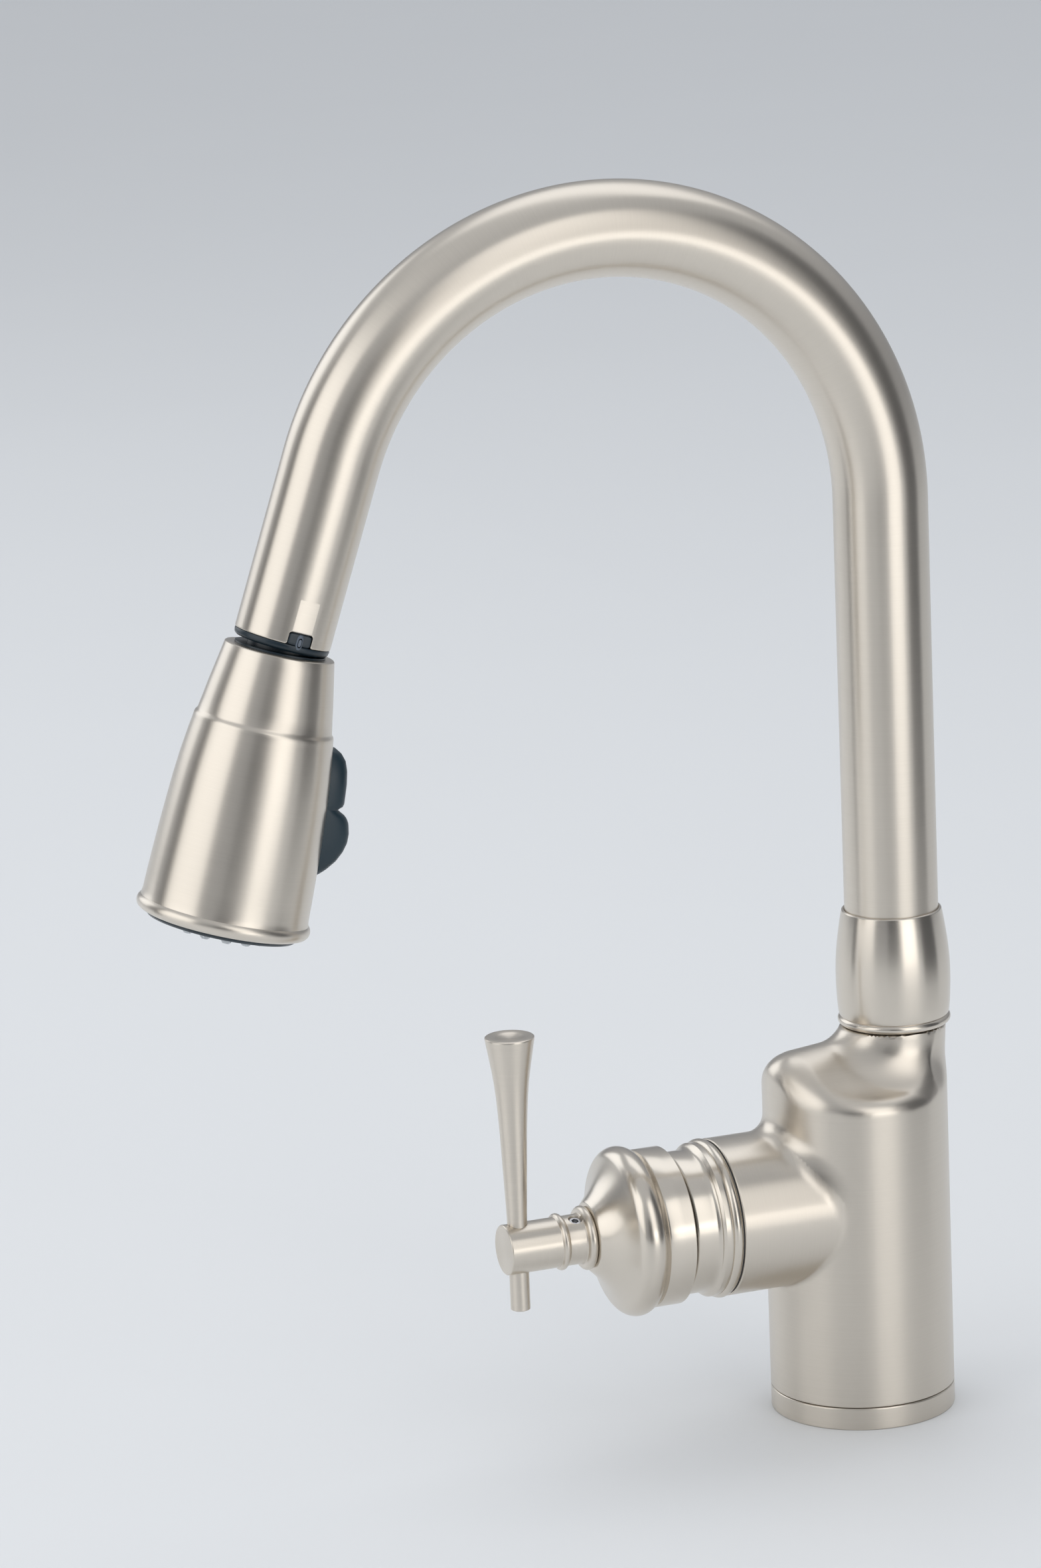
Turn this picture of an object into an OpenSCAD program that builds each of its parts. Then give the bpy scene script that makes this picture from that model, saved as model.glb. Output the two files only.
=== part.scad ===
// Pull-down kitchen tap on a single deck hole: swivelling gooseneck spout, docked spray head
// with a two-way rocker, and a front barrel valve with a bell and cross lever.
// Origin: centre of the base ring's underside. +Z up, the spout and the lever hub point to -Y.

/* [Base and body] */
// Radius of the cylindrical body and its base ring
body_r = 29.7; // [26:0.1:34]
// Height of the base ring
ring_h = 7.3; // [5:0.1:12]
// Height where the shoulder starts
shoulder_z = 103; // [95:0.5:110]
// Height where the neck ends under the collar
neck_top_z = 125.6; // [118:0.1:130]
// Radius of the neck under the collar
neck_r = 16.5; // [16:0.1:19]
// How far the neck stands behind the body's axis
neck_y = 14.6; // [8:0.1:16]

/* [Deck fixing] */
// Outer radius of the threaded shank
shank_r = 17; // [15:0.1:18]
// Length of shank below the deck face
shank_drop = 48; // [40:1:70]
// Thickness of the deck it is shown clamped to
deck_t = 20; // [5:1:36]

/* [Spout] */
// Outer radius of the spout tube
tube_r = 15; // [13:0.1:16]
// Wall of the spout tube
tube_wall = 1.2; // [0.8:0.1:2]
// Height where the arch starts
arch_z = 296.8; // [250:0.1:320]
// Centre-line radius of the arch
arch_r = 93.5; // [80:0.5:110]
// Angle that the arch turns through
arch_turn = 160.8; // [150:0.1:180]
// Straight length after the arch
drop_len = 55.8; // [30:0.1:80]
// Height of the collar's top lip
collar_top_z = 163.6; // [150:0.1:175]

/* [Spray head] */
// Direction of the head's axis, measured like the arch's turn
head_turn = 164.4; // [155:0.1:180]
// Length of the head below the end of the spout
head_len = 89.9; // [80:0.1:110]
// Width of the rocker
rocker_w = 14; // [10:0.5:18]

/* [Valve and handle] */
// Height of the valve's axis
valve_z = 69.7; // [60:0.1:80]
// Radius of the valve barrel
barrel_r = 25.3; // [24:0.1:27]
// Distance from the body's axis to the barrel's mouth
barrel_len = 50; // [45:0.5:55]
// Distance from the body's axis to the joystick's pivot
pivot_s = 45; // [40:0.5:50]
// Distance from the body's axis to the hub's end
hub_end_s = 122.1; // [110:0.1:130]
// Distance from the body's axis to the lever
lever_s = 117.3; // [108:0.1:118]
// Length of lever above the valve's axis
lever_up = 69.5; // [50:0.5:90]
// Length of lever below the valve's axis
lever_down = 20.5; // [10:0.5:30]

/* [Hidden] */

$fn = 96;
gap = 0.05;              // parts that seat in each other
shoulder_back = 31.1;    // rear reach of the neck
bore_y = 7;              // hose position in the shank
hose_r = 6.3;
shank_bore_r = 14;
socket_top = 22;         // roof of the shank's socket
port_r = 4;              // thread of the hose ports
way_r = 3;               // drilled waterways
port_x = 9;
port_y = -2.5;
outlet_y = -9.5;
stub_r = 11.4;           // swivel stub
swivel_bore_r = 13.25;
bonnet_r = 30.2;         // spherical cap about the pivot
tube_in = tube_r - tube_wall;
arch_y = neck_y - arch_r;
bend_turn = 12;          // each half of the hose's S-bend in the body
bend_r = (neck_y - bore_y) / 2 / (1 - cos(bend_turn));
bend_z = 27;
bend_top_z = bend_z + 2 * bend_r * sin(bend_turn);
hair = 0.02;
// The hose lies in the spout so that it enters the head on the head's own axis.
out_y = neck_y - arch_y - arch_r * cos(arch_turn) + drop_len * sin(arch_turn);
out_z = -arch_r * sin(arch_turn) - drop_len * cos(arch_turn);
hose_bend = (out_y * cos(head_turn) + out_z * sin(head_turn)) / (cos(head_turn) - 1);
hose_drop = -(out_z + hose_bend * sin(head_turn)) / cos(head_turn);
metal = [0.72, 0.69, 0.64];
brass = [0.78, 0.64, 0.36];
black = [0.07, 0.07, 0.08];
white = [0.92, 0.92, 0.90];
steel = [0.66, 0.67, 0.69];

// Local +Z runs out along the valve's axis, local +Y stays up.
module on_valve(s = 0) {
  translate([0, -s, valve_z]) rotate([90, 0, 0]) children();
}

// Local +Z runs out of the end of the spout tube.
module on_outlet(s = 0) {
  translate([0, arch_y, arch_z]) rotate([arch_turn, 0, 0]) translate([0, arch_r, drop_len + s])
    children();
}

// Local +Z runs down the spray head from the spout's end, local -Y faces the column.
module on_head(s = 0) {
  on_outlet() rotate([head_turn - arch_turn, 0, 0]) translate([0, 0, s]) children();
}

module ring(ro, ri, h) {
  difference() {
    cylinder(r = ro, h = h);
    translate([0, 0, -1]) cylinder(r = ri, h = h + 2);
  }
}

// Disc with a rounded rim, radius ro at the crown of the bead
module bead(ro, h) {
  rotate_extrude() {
    square([ro - h / 2, h]);
    translate([ro - h / 2, h / 2]) circle(r = h / 2);
  }
}

module base_ring() {
  color(metal) difference() {
    union() {
      cylinder(r = body_r, h = ring_h - 0.4);
      translate([0, 0, ring_h - 0.4]) cylinder(r1 = body_r, r2 = body_r - 0.4, h = 0.4);
    }
    translate([0, 0, -1]) cylinder(r = shank_r + 0.3, h = ring_h + 2);
    translate([0, 0, -1]) ring(27, 20.5, 3);
  }
}

module base_gasket() {
  color(black) ring(27 - gap, 20.5 + gap, 1.95);
}

// Shoulder: egg-shaped sections that shrink to the neck and slide back to its axis.
levels = 14;
points_per_ring = 48;
function rise(k) = k / (levels - 1);
function sweep_back(u) = u <= 0 ? 0 : 1 / (1 + pow(1.5 * (1 - u) / u, 3));
function half_width(u) = neck_r + (body_r - 0.02 - neck_r) * pow(1 - u, 3);
function front_y(u) = -(body_r - 0.02) + (body_r + neck_y - neck_r) * sweep_back(u);
function back_y(u) = body_r - 0.02 + (shoulder_back - body_r) * u;
function widest_y(u) = neck_y * u;
function fat(v, u) = sign(v) * pow(abs(v), 2 / (2 + 0.9 * sin(180 * u)));
function egg(u, a) = [
  half_width(u) * fat(sin(a), u),
  widest_y(u) + (cos(a) > 0 ? back_y(u) - widest_y(u) : widest_y(u) - front_y(u)) * fat(cos(a), u),
  shoulder_z + (neck_top_z - shoulder_z) * u
];

module shoulder() {
  rings = [for (k = [0 : levels - 1], i = [0 : points_per_ring - 1])
    egg(rise(k), 360 * i / points_per_ring)];
  low = [for (i = [points_per_ring - 1 : -1 : 0]) i];
  high = [for (i = [0 : points_per_ring - 1]) (levels - 1) * points_per_ring + i];
  wall = [for (k = [0 : levels - 2], i = [0 : points_per_ring - 1])
    let (a = k * points_per_ring, j = (i + 1) % points_per_ring)
      for (t = [[a + i, a + j, a + i + points_per_ring],
                [a + j, a + j + points_per_ring, a + i + points_per_ring]]) t];
  polyhedron(points = rings, faces = concat([low], [high], wall), convexity = 6);
}

module waterways() {
  for (x = [-port_x, port_x]) {
    translate([x, port_y, socket_top - 1]) cylinder(r = port_r, h = 13);
    translate([x, port_y, socket_top]) cylinder(r = way_r, h = valve_z - socket_top + way_r);
    translate([x, port_y, valve_z]) rotate([90, 0, 0]) cylinder(r = way_r, h = 26);
  }
  translate([0, outlet_y, socket_top - 1]) cylinder(r = port_r, h = 13);
  translate([0, outlet_y, socket_top]) cylinder(r = way_r, h = valve_z - 10 - socket_top + way_r);
  translate([0, outlet_y, valve_z - 10]) rotate([90, 0, 0]) cylinder(r = way_r, h = 19);
}

module body() {
  color(metal) difference() {
    union() {
      translate([0, 0, ring_h + 0.6]) cylinder(r = body_r, h = shoulder_z - ring_h - 0.6);
      translate([0, 0, ring_h + 0.2]) cylinder(r1 = body_r - 0.4, r2 = body_r, h = 0.4);
      shoulder();
      on_valve() cylinder(r = barrel_r, h = barrel_len - 0.4);
      on_valve(barrel_len - 0.4) cylinder(r1 = barrel_r, r2 = barrel_r - 0.4, h = 0.4);
    }
    translate([0, 0, ring_h - 1]) cylinder(r = shank_r - 0.5 + gap, h = socket_top - ring_h + 1);
    waterways();
    hose_way(7.6);
    // hollow behind the waterways
    intersection() {
      translate([0, 0, socket_top + 4]) cylinder(r = body_r - 4.5, h = shoulder_z - socket_top - 6);
      translate([-40, 4, 0]) cube([80, 40, 120]);
    }
    translate([0, neck_y, shoulder_z - 3]) cylinder(r = 14.6, h = 4);
    translate([0, neck_y, shoulder_z]) cylinder(r = swivel_bore_r, h = 40);
    on_valve(27) cylinder(r = 17.6, h = 40);
    on_valve(42) cylinder(r = 21, h = 40);
  }
}

// A bend of a round bar in the Y-Z plane about [y, z], from angle a through turn
module bend(y, z, radius, a, turn, r) {
  translate([0, y, z]) rotate([90, 0, 90]) rotate([0, 0, a]) rotate_extrude(angle = turn)
    translate([radius, 0]) circle(r = r);
}

// Route of the hose from the shank up to the neck: an easy S-bend above a straight.
// Straights and every second bend are a hair thinner and run a little into their neighbour.
module hose_way(r) {
  translate([0, bore_y, -shank_drop]) cylinder(r = r - hair, h = shank_drop + bend_z + 0.5);
  bend(bore_y + bend_r, bend_z, bend_r, 180 - bend_turn, bend_turn, r);
  bend(neck_y - bend_r, bend_top_z, bend_r, -bend_turn - 0.2, bend_turn + 0.2, r - hair);
}

module shank() {
  color(brass) difference() {
    union() {
      translate([0, 0, -shank_drop]) cylinder(r1 = shank_r - 1, r2 = shank_r, h = 1);
      translate([0, 0, 1 - shank_drop]) cylinder(r = shank_r, h = shank_drop - deck_t - 1);
      translate([0, 0, -deck_t]) cylinder(r = shank_r - 0.6, h = 1.5);
      translate([0, 0, 1.5 - deck_t]) cylinder(r = shank_r, h = deck_t - 1.5);
      cylinder(r = shank_r - 0.5, h = socket_top - gap);
    }
    translate([0, 0, -shank_drop - 1]) cylinder(r = shank_bore_r, h = shank_drop + 40);
  }
}

module deck_washer_rubber() {
  color(black) translate([0, 0, -deck_t - 3]) ring(28, shank_r + 0.4, 2.95);
}

module deck_washer_steel() {
  color(steel) translate([0, 0, -deck_t - 5]) ring(28, shank_r + 0.4, 1.95);
}

module mounting_nut() {
  color(brass) difference() {
    union() {
      translate([0, 0, -deck_t - 8.1]) cylinder(r = 26, h = 3);
      translate([0, 0, -deck_t - 16]) cylinder(r = 24, h = 8, $fn = 6);
    }
    translate([0, 0, -deck_t - 20]) cylinder(r = shank_r + 0.07, h = 20);
  }
}

module cartridge_housing() {
  color(white) on_valve(27.2) difference() {
    cylinder(r = 17.45, h = 16.9);
    translate([0, 0, 1.5]) cylinder(r = 14.5, h = 20);
    for (p = [[-port_x, 0], [port_x, 0], [0, -10]])
      translate([p[0], p[1], -1]) cylinder(r = 3.9, h = 4);
  }
}

module port_seals() {
  color(black) on_valve(27.05)
    for (p = [[-port_x, 0], [port_x, 0], [0, -10]])
      translate([p[0], p[1], 0]) ring(3.8, 2.8, 1.6);
}

module disc_fixed() {
  color(white) on_valve(28.8) difference() {
    cylinder(r = 14.4, h = 2.6);
    for (p = [[-port_x, 0], [port_x, 0], [0, -10]])
      translate([p[0], p[1], -1]) cylinder(r = 2.6, h = 5);
  }
}

module disc_moving() {
  color(white) on_valve(31.45) difference() {
    translate([0, -2.5, 0]) cylinder(r = 11, h = 3);
    translate([0, -2.5, -1]) cylinder(r = 6.5, h = 2);
    translate([-3.2, -3.2, 1.5]) cube([6.4, 6.4, 4]);
  }
}

module cartridge_carrier() {
  color(white) on_valve(34.6) difference() {
    cylinder(r = 12.5, h = 12.9);
    translate([-3.15, -6, -1]) cube([6.3, 15.4, 20]);
    translate([-20, 0, pivot_s - 34.6]) rotate([0, 90, 0]) cylinder(r = 1.5, h = 40);
  }
}

module pivot_pin() {
  color(steel) on_valve(pivot_s) translate([-12, 0, 0]) rotate([0, 90, 0])
    cylinder(r = 1.45, h = 24);
}

module cartridge_nut() {
  color(brass) on_valve(44.2) difference() {
    cylinder(r = 20.95, h = 3.8);
    translate([0, 0, -1]) cylinder(r = 13.4, h = 8);
    for (a = [0 : 60 : 300]) rotate([0, 0, a]) translate([17.4, -1.5, 2]) cube([6, 3, 4]);
  }
}

module bonnet_seal() {
  color(black) on_valve(barrel_len + 0.02) ring(barrel_r - 0.45, 21, 0.36);
}

module bonnet() {
  ball = pivot_s - barrel_len;
  color(metal) on_valve(barrel_len) difference() {
    union() {
      translate([0, 0, -1.8]) cylinder(r = 20.9, h = 3);
      translate([0, 0, 0.4]) bead(barrel_r + 0.3, 3.2);
      translate([0, 0, 1]) cylinder(r = 24.7, h = 5.6);
      translate([0, 0, 6.6]) cylinder(r1 = 24.7, r2 = 22.9, h = 1.4);
      translate([0, 0, 7]) cylinder(r = 22.9, h = 3.2);
      intersection() {
        translate([0, 0, ball]) sphere(r = bonnet_r);
        translate([0, 0, 7]) cylinder(r = 22.9, h = 30);
      }
    }
    intersection() {
      translate([0, 0, ball]) sphere(r = bonnet_r - 2);
      translate([0, 0, -3]) cylinder(r = 19, h = 40);
    }
    cylinder(r = 16.8, h = 40);
  }
}

module stem() {
  color(steel) on_valve(pivot_s) difference() {
    union() {
      translate([-3, -3, -9]) cube([6, 6, 21]);
      translate([-2.8, -2.55, -11.8]) cube([5.6, 5.1, 3]);
      translate([0, 0, 11]) cylinder(r = 4, h = 46);
    }
    translate([-20, 0, 0]) rotate([0, 90, 0]) cylinder(r = 1.52, h = 40);
  }
}

// Bell outside: flat band, wide bead, trumpet flare down to the hub
module handle_skirt() {
  color(metal) on_valve() difference() {
    rotate_extrude() {
      polygon([[0, 66.5], [25.3, 66.5], [25.3, 75.4], [24.5, 75.7], [24.5, 84], [22.8, 85.2],
        [20.6, 86.3], [18.2, 87.6], [15.9, 89.1], [13.9, 90.8], [12.2, 92.4], [10.8, 93.6], [0, 93.6]]);
      translate([22.2, 80.6]) circle(r = 5);
    }
    rotate_extrude()
      polygon([[0, 60], [23.7, 60], [23.7, 80], [21, 83], [15, 86], [9, 89], [0, 89]]);
    translate([0, 0, 80]) cylinder(r = 5.5 + gap, h = 20);
  }
}

module handle_hub() {
  color(metal) difference() {
    on_valve() difference() {
      union() {
        translate([0, 0, 89.5]) cylinder(r = 5.5, h = 5);
        translate([0, 0, 93.65]) bead(10.25, 2.8);
        translate([0, 0, 95]) cylinder(r = 8, h = 9);
        translate([0, 0, 102.6]) bead(9, 2.2);
        translate([0, 0, 104]) cylinder(r = 8.05, h = hub_end_s - 104.6);
        translate([0, 0, hub_end_s - 0.6]) cylinder(r1 = 8.05, r2 = 7.45, h = 0.6);
      }
      translate([0, 0, 80]) cylinder(r = 4 + gap, h = 22.3);
      translate([0, 0, 98.7]) rotate([0, 0, -20]) rotate([-90, 0, 0]) cylinder(r = 2, h = 12);
    }
    translate([0, -lever_s, valve_z - 20]) cylinder(r = 3.15 + gap, h = 40);
  }
}

module set_screw() {
  color(steel) on_valve(98.7) rotate([0, 0, -20]) rotate([-90, 0, 0]) translate([0, 0, 4.05])
    difference() {
      cylinder(r = 1.95, h = 3.2);
      translate([0, 0, 1.4]) cylinder(r = 1.15, h = 3, $fn = 6);
    }
}

module lever() {
  color(metal) translate([0, -lever_s, valve_z]) difference() {
    rotate_extrude()
      polygon([[0, -lever_down], [2.6, -lever_down], [3.15, 0.5 - lever_down], [3.15, 8],
        [3.5, 17.7], [3.86, 26.2], [4.33, 38], [5.05, 49.7], [6.1, 58.4], [7.86, lever_up - 0.9],
        [7.6, lever_up - 0.2], [7.2, lever_up], [0, lever_up]]);
    translate([0, 0, lever_up + 7.4]) sphere(r = 8.6);
  }
}

module collar() {
  h = collar_top_z;
  color(metal) translate([0, neck_y, 0]) difference() {
    rotate_extrude() {
      polygon([[0, 126], [16.6, 126], [17.9, 128.9], [18.2, 134], [18.35, 141], [18.2, 147],
        [17.7, 152.5], [17, 157], [16.2, h - 2], [15.9, h - 0.6], [15.5, h], [0, h]]);
      translate([16.6, 127.4]) circle(r = 1.4);
    }
    translate([0, 0, 120]) cylinder(r = tube_r + gap, h = 60);
  }
}

module spout_tube() {
  color(metal) difference() {
    union() {
      translate([0, neck_y, 127]) ring(tube_r - hair, tube_in + hair, arch_z - 126.5);
      translate([0, arch_y, arch_z]) rotate([90, 0, 90]) rotate_extrude(angle = arch_turn)
        translate([arch_r, 0]) difference() {
          circle(r = tube_r);
          circle(r = tube_in);
        }
      on_outlet(-drop_len - 0.5) ring(tube_r - hair, tube_in + hair, drop_len + 0.5);
    }
    for (x = [-20, 10]) on_outlet(-4) translate([x, -4, 0]) cube([10, 8, 6]);
  }
}

module swivel_stub() {
  color(brass) translate([0, neck_y, 0]) difference() {
    union() {
      translate([0, 0, shoulder_z - 2.2]) cylinder(r = stub_r, h = 27);
      translate([0, 0, 126.1]) cylinder(r = 14.9, h = 0.85);
      translate([0, 0, 126.5]) cylinder(r = tube_in - gap, h = 16);
    }
    translate([0, 0, 90]) cylinder(r = 9.2, h = 80);
    translate([0, 0, shoulder_z - 1.4]) ring(stub_r + 1, stub_r - 0.9, 1.3);
    translate([0, 0, 113.4]) ring(stub_r + 1, stub_r - 1.1, 2.6);
  }
}

module swivel_bushings() {
  color(white) translate([0, neck_y, 0]) {
    translate([0, 0, shoulder_z + 0.2]) ring(swivel_bore_r - 0.07, stub_r + gap, 8);
    translate([0, 0, 117.6]) ring(swivel_bore_r - 0.07, stub_r + gap, 8);
  }
}

module swivel_seal() {
  color(black) translate([0, neck_y, 114.7]) rotate_extrude()
    translate([stub_r + 0.35, 0]) circle(r = 1.25);
}

module snap_ring() {
  color(steel) translate([0, neck_y, shoulder_z - 1.35]) difference() {
    ring(13.9, stub_r - 0.85, 1.2);
    translate([-1.5, 5, -1]) cube([3, 20, 4]);
  }
}

module dock_ring() {
  color(black) on_outlet() difference() {
    union() {
      translate([0, 0, -16]) cylinder(r = tube_in - gap, h = 17);
      translate([0, 0, 0.1]) cylinder(r1 = 14.9, r2 = 14.2, h = 1.9);
    }
    translate([0, 0, -17]) cylinder(r = 11.8, h = 30);
  }
}

module dock_keys() {
  color(black) on_outlet(-3.7) for (x = [-1, 1])
    translate([x * (tube_in + 0.75), 0, 0]) translate([-0.65, -3.7, 0]) cube([1.3, 7.4, 3.6]);
}

module head_outline() {
  polygon([[0, 3.8], [16.5, 3.8], [17.1, 4.4], [19.35, 16.6], [20.9, 26],
    [21.7, 26.8], [21.9, 28.2], [23.4, 40], [24.6, 55], [25.4, 70],
    [25.9, 84.6], [25.9, 87.5], [24.6, head_len], [0, head_len]]);
}

module head_shell() {
  color(metal) on_head() difference() {
    rotate_extrude() {
      head_outline();
      translate([24.7, 87.3]) circle(r = 2.4);
    }
    rotate_extrude()
      polygon([[0, 5.4], [15.2, 5.4], [19.4, 26], [20.4, 28], [23.1, 55], [24.3, 84], [24.3, 92], [0, 92]]);
    cylinder(r = 13.5, h = 10);
    translate([-rocker_w / 2 - 0.4, -40, 30]) cube([rocker_w + 0.8, 40, 42]);
  }
}

module head_core() {
  color(black) on_head() difference() {
    union() {
      translate([0, 0, -6]) cylinder(r = 10.5, h = 30);
      translate([0, 0, 3.2]) cylinder(r = 14.1, h = 0.55);
      translate([0, 0, 4]) cylinder(r = 13.4, h = 12);
      translate([0, 0, 5.6]) cylinder(r1 = 14.6, r2 = 18.3, h = 20.6);
      translate([0, 0, 26.2]) cylinder(r = 18.3, h = 60);
    }
    translate([0, 0, -7]) cylinder(r = 7.4, h = 30);
    translate([0, 0, 20]) cylinder(r = 5, h = 70);
    translate([-rocker_w / 2 - 0.8, -30, 29]) cube([rocker_w + 1.6, 16, 44]);
    translate([0, 0, 62]) rotate([90, 0, 0]) cylinder(r = 2.57, h = 20);
    translate([-15, -18.2, 48.3]) rotate([0, 90, 0]) cylinder(r = 1.25, h = 30);
  }
}

module hose_nut() {
  color(brass) on_head(-22) difference() {
    union() {
      cylinder(r = 7.3, h = 12);
      translate([0, 0, 11.9]) cylinder(r = 7.3, h = 16);
    }
    translate([0, 0, -1]) cylinder(r = hose_r + gap, h = 12);
    cylinder(r = 4.5, h = 40);
  }
}

module check_valve() {
  color(white) on_head(6.4) ring(7.2, 2.5, 12);
}

// Two pads on one carrier: the upper one flat, the lower one domed
module rocker() {
  color(black) on_head() difference() {
    union() {
      intersection() {
        rotate_extrude()
          polygon([[19.2, 30.8], [23.6, 30.8], [26.3, 32.6], [28, 35], [28.8, 38], [30.2, 48],
            [29.6, 48.3], [30.4, 48.6], [32.4, 51], [33.3, 54.6], [33.2, 58], [32, 62.5],
            [29.8, 66.8], [26.4, 71], [19.2, 71]]);
        translate([-rocker_w / 2, -40, 0]) cube([rocker_w, 40, 80]);
      }
      translate([-6, -19.9, 32]) cube([12, 2.1, 37]);
      translate([-6, -18.2, 48.3]) rotate([0, 90, 0]) cylinder(r = 3, h = 12);
    }
    translate([-15, -18.2, 48.3]) rotate([0, 90, 0]) cylinder(r = 1.26, h = 30);
  }
}

module rocker_pin() {
  color(steel) on_head() translate([-8.6, -18.2, 48.3]) rotate([0, 90, 0]) cylinder(r = 1.2, h = 17.2);
}

module diverter_spool() {
  color(white) on_head(62) rotate([90, 0, 0]) translate([0, 0, 5.5]) cylinder(r = 2.5, h = 12);
}

module spray_face() {
  color(black) on_head(86.3) difference() {
    union() {
      cylinder(r = 24.2, h = 3.4);
      translate([0, 0, 3.3]) cylinder(r1 = 23.6, r2 = 22.6, h = 1.6);
    }
    translate([0, 0, -1]) cylinder(r = 9, h = 8);
    for (a = [0 : 20 : 340]) rotate([0, 0, a]) translate([17.5, 0, -1]) cylinder(r = 1.35, h = 8);
    for (a = [10 : 30 : 340]) rotate([0, 0, a]) translate([12.8, 0, -1]) cylinder(r = 1.35, h = 8);
  }
}

module aerator() {
  color(steel) on_head(86.4) difference() {
    cylinder(r = 8.9, h = 4.4);
    translate([0, 0, 2.4]) cylinder(r = 7.4, h = 3);
    for (x = [-5.4 : 2.7 : 5.4], y = [-2.7, 0, 2.7]) translate([x, y, -1]) cylinder(r = 0.8, h = 5);
  }
}

module spray_nipples() {
  color(white) on_head(86.4) {
    for (a = [0 : 20 : 340]) rotate([0, 0, a]) translate([17.5, 0, 0]) nipple();
    for (a = [10 : 30 : 340]) rotate([0, 0, a]) translate([12.8, 0, 0]) nipple();
  }
}

module nipple() {
  cylinder(r = 1.3, h = 6.2);
  translate([0, 0, 6.2]) cylinder(r1 = 1.3, r2 = 0.9, h = 1.4);
}

module spray_hose() {
  color(steel) {
    hose_way(hose_r);
    translate([0, neck_y, bend_top_z - 0.5]) cylinder(r = hose_r - 2 * hair, h = arch_z - bend_top_z + 1);
    bend(neck_y - hose_bend, arch_z, hose_bend, 0, head_turn, hose_r);
    on_head(-hose_drop - 0.5) cylinder(r = hose_r - hair, h = hose_drop - 11.6);
  }
}

base_ring();
base_gasket();
body();
shank();
deck_washer_rubber();
deck_washer_steel();
mounting_nut();
cartridge_housing();
port_seals();
disc_fixed();
disc_moving();
cartridge_carrier();
pivot_pin();
cartridge_nut();
bonnet_seal();
bonnet();
stem();
handle_skirt();
handle_hub();
set_screw();
lever();
collar();
spout_tube();
swivel_stub();
swivel_bushings();
swivel_seal();
snap_ring();
dock_ring();
dock_keys();
head_shell();
head_core();
hose_nut();
check_valve();
rocker();
rocker_pin();
diverter_spool();
spray_face();
aerator();
spray_nipples();
spray_hose();
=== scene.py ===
import bpy
import math
import numpy as np
import bmesh
from mathutils import Matrix, Vector


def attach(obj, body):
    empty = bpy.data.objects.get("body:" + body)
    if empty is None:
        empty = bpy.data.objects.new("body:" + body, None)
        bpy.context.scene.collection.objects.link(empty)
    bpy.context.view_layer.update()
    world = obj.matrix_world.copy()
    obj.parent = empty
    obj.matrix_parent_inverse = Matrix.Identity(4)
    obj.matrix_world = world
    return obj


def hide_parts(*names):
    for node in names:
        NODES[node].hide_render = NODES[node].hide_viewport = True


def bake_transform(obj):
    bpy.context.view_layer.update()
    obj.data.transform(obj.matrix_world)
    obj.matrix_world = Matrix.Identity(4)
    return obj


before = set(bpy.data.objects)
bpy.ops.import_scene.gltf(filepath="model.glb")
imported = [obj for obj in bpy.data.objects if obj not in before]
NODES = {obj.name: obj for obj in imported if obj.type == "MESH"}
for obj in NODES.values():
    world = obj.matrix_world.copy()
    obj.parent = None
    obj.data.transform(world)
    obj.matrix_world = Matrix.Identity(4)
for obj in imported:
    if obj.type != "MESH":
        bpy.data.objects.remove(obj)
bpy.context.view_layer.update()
MM = 0.001

# ---------------------------------------------------------------- dimensions, mm
BODY_R, RING_H = 29.7, 7.3
NECK_R, NECK_Y, NECK_TOP = 16.5, 14.6, 125.6
SHOULDER_Z, TONGUE_Z = 108.3, 102.8
BARREL_R, BARREL_LEN, VALVE_Z = 25.3, 50.0, 69.7
NECK_BORE, SOCKET_R, CARTRIDGE_R, NUT_R = 13.25, 16.55, 17.6, 21.0
TUBE_R, TUBE_IN, TUBE_FOOT = 15.0, 13.8, 127
ARCH_R, ARCH_Z, ARCH_TURN, DROP = 93.5, 296.8, math.radians(160.8), 55.8
HEAD_TURN = math.radians(164.4)
SHANK_R, SHANK_LOW, SHANK_Y = 17.0, -48.0, 7.0
BEND_Z, BEND_H = 27.0, 72.3
LEVER_S, HUB_END = 117.3, 122.1
HOSE_R, HOSE_BORE, BRAID_STRANDS, BRAID_PITCH = 6.3, 7.6, 12, 1900.0
ARCH_Y = NECK_Y - ARCH_R
END = Vector((0, ARCH_Y + ARCH_R * math.cos(ARCH_TURN) - DROP * math.sin(ARCH_TURN),
              ARCH_Z + ARCH_R * math.sin(ARCH_TURN) + DROP * math.cos(ARCH_TURN)))


def place(origin, turn=0.0):
    """Matrix in mm: local +Z turned about X by turn, then moved to origin."""
    return Matrix.Translation(Vector(origin)) @ Matrix.Rotation(turn, 4, "X")


UP = place((0, 0, 0))
NECK = place((0, NECK_Y, 0))
VALVE = place((0, 0, VALVE_Z), math.pi / 2)
OUTLET = place(END, ARCH_TURN)
HEAD = place(END, HEAD_TURN)


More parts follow.
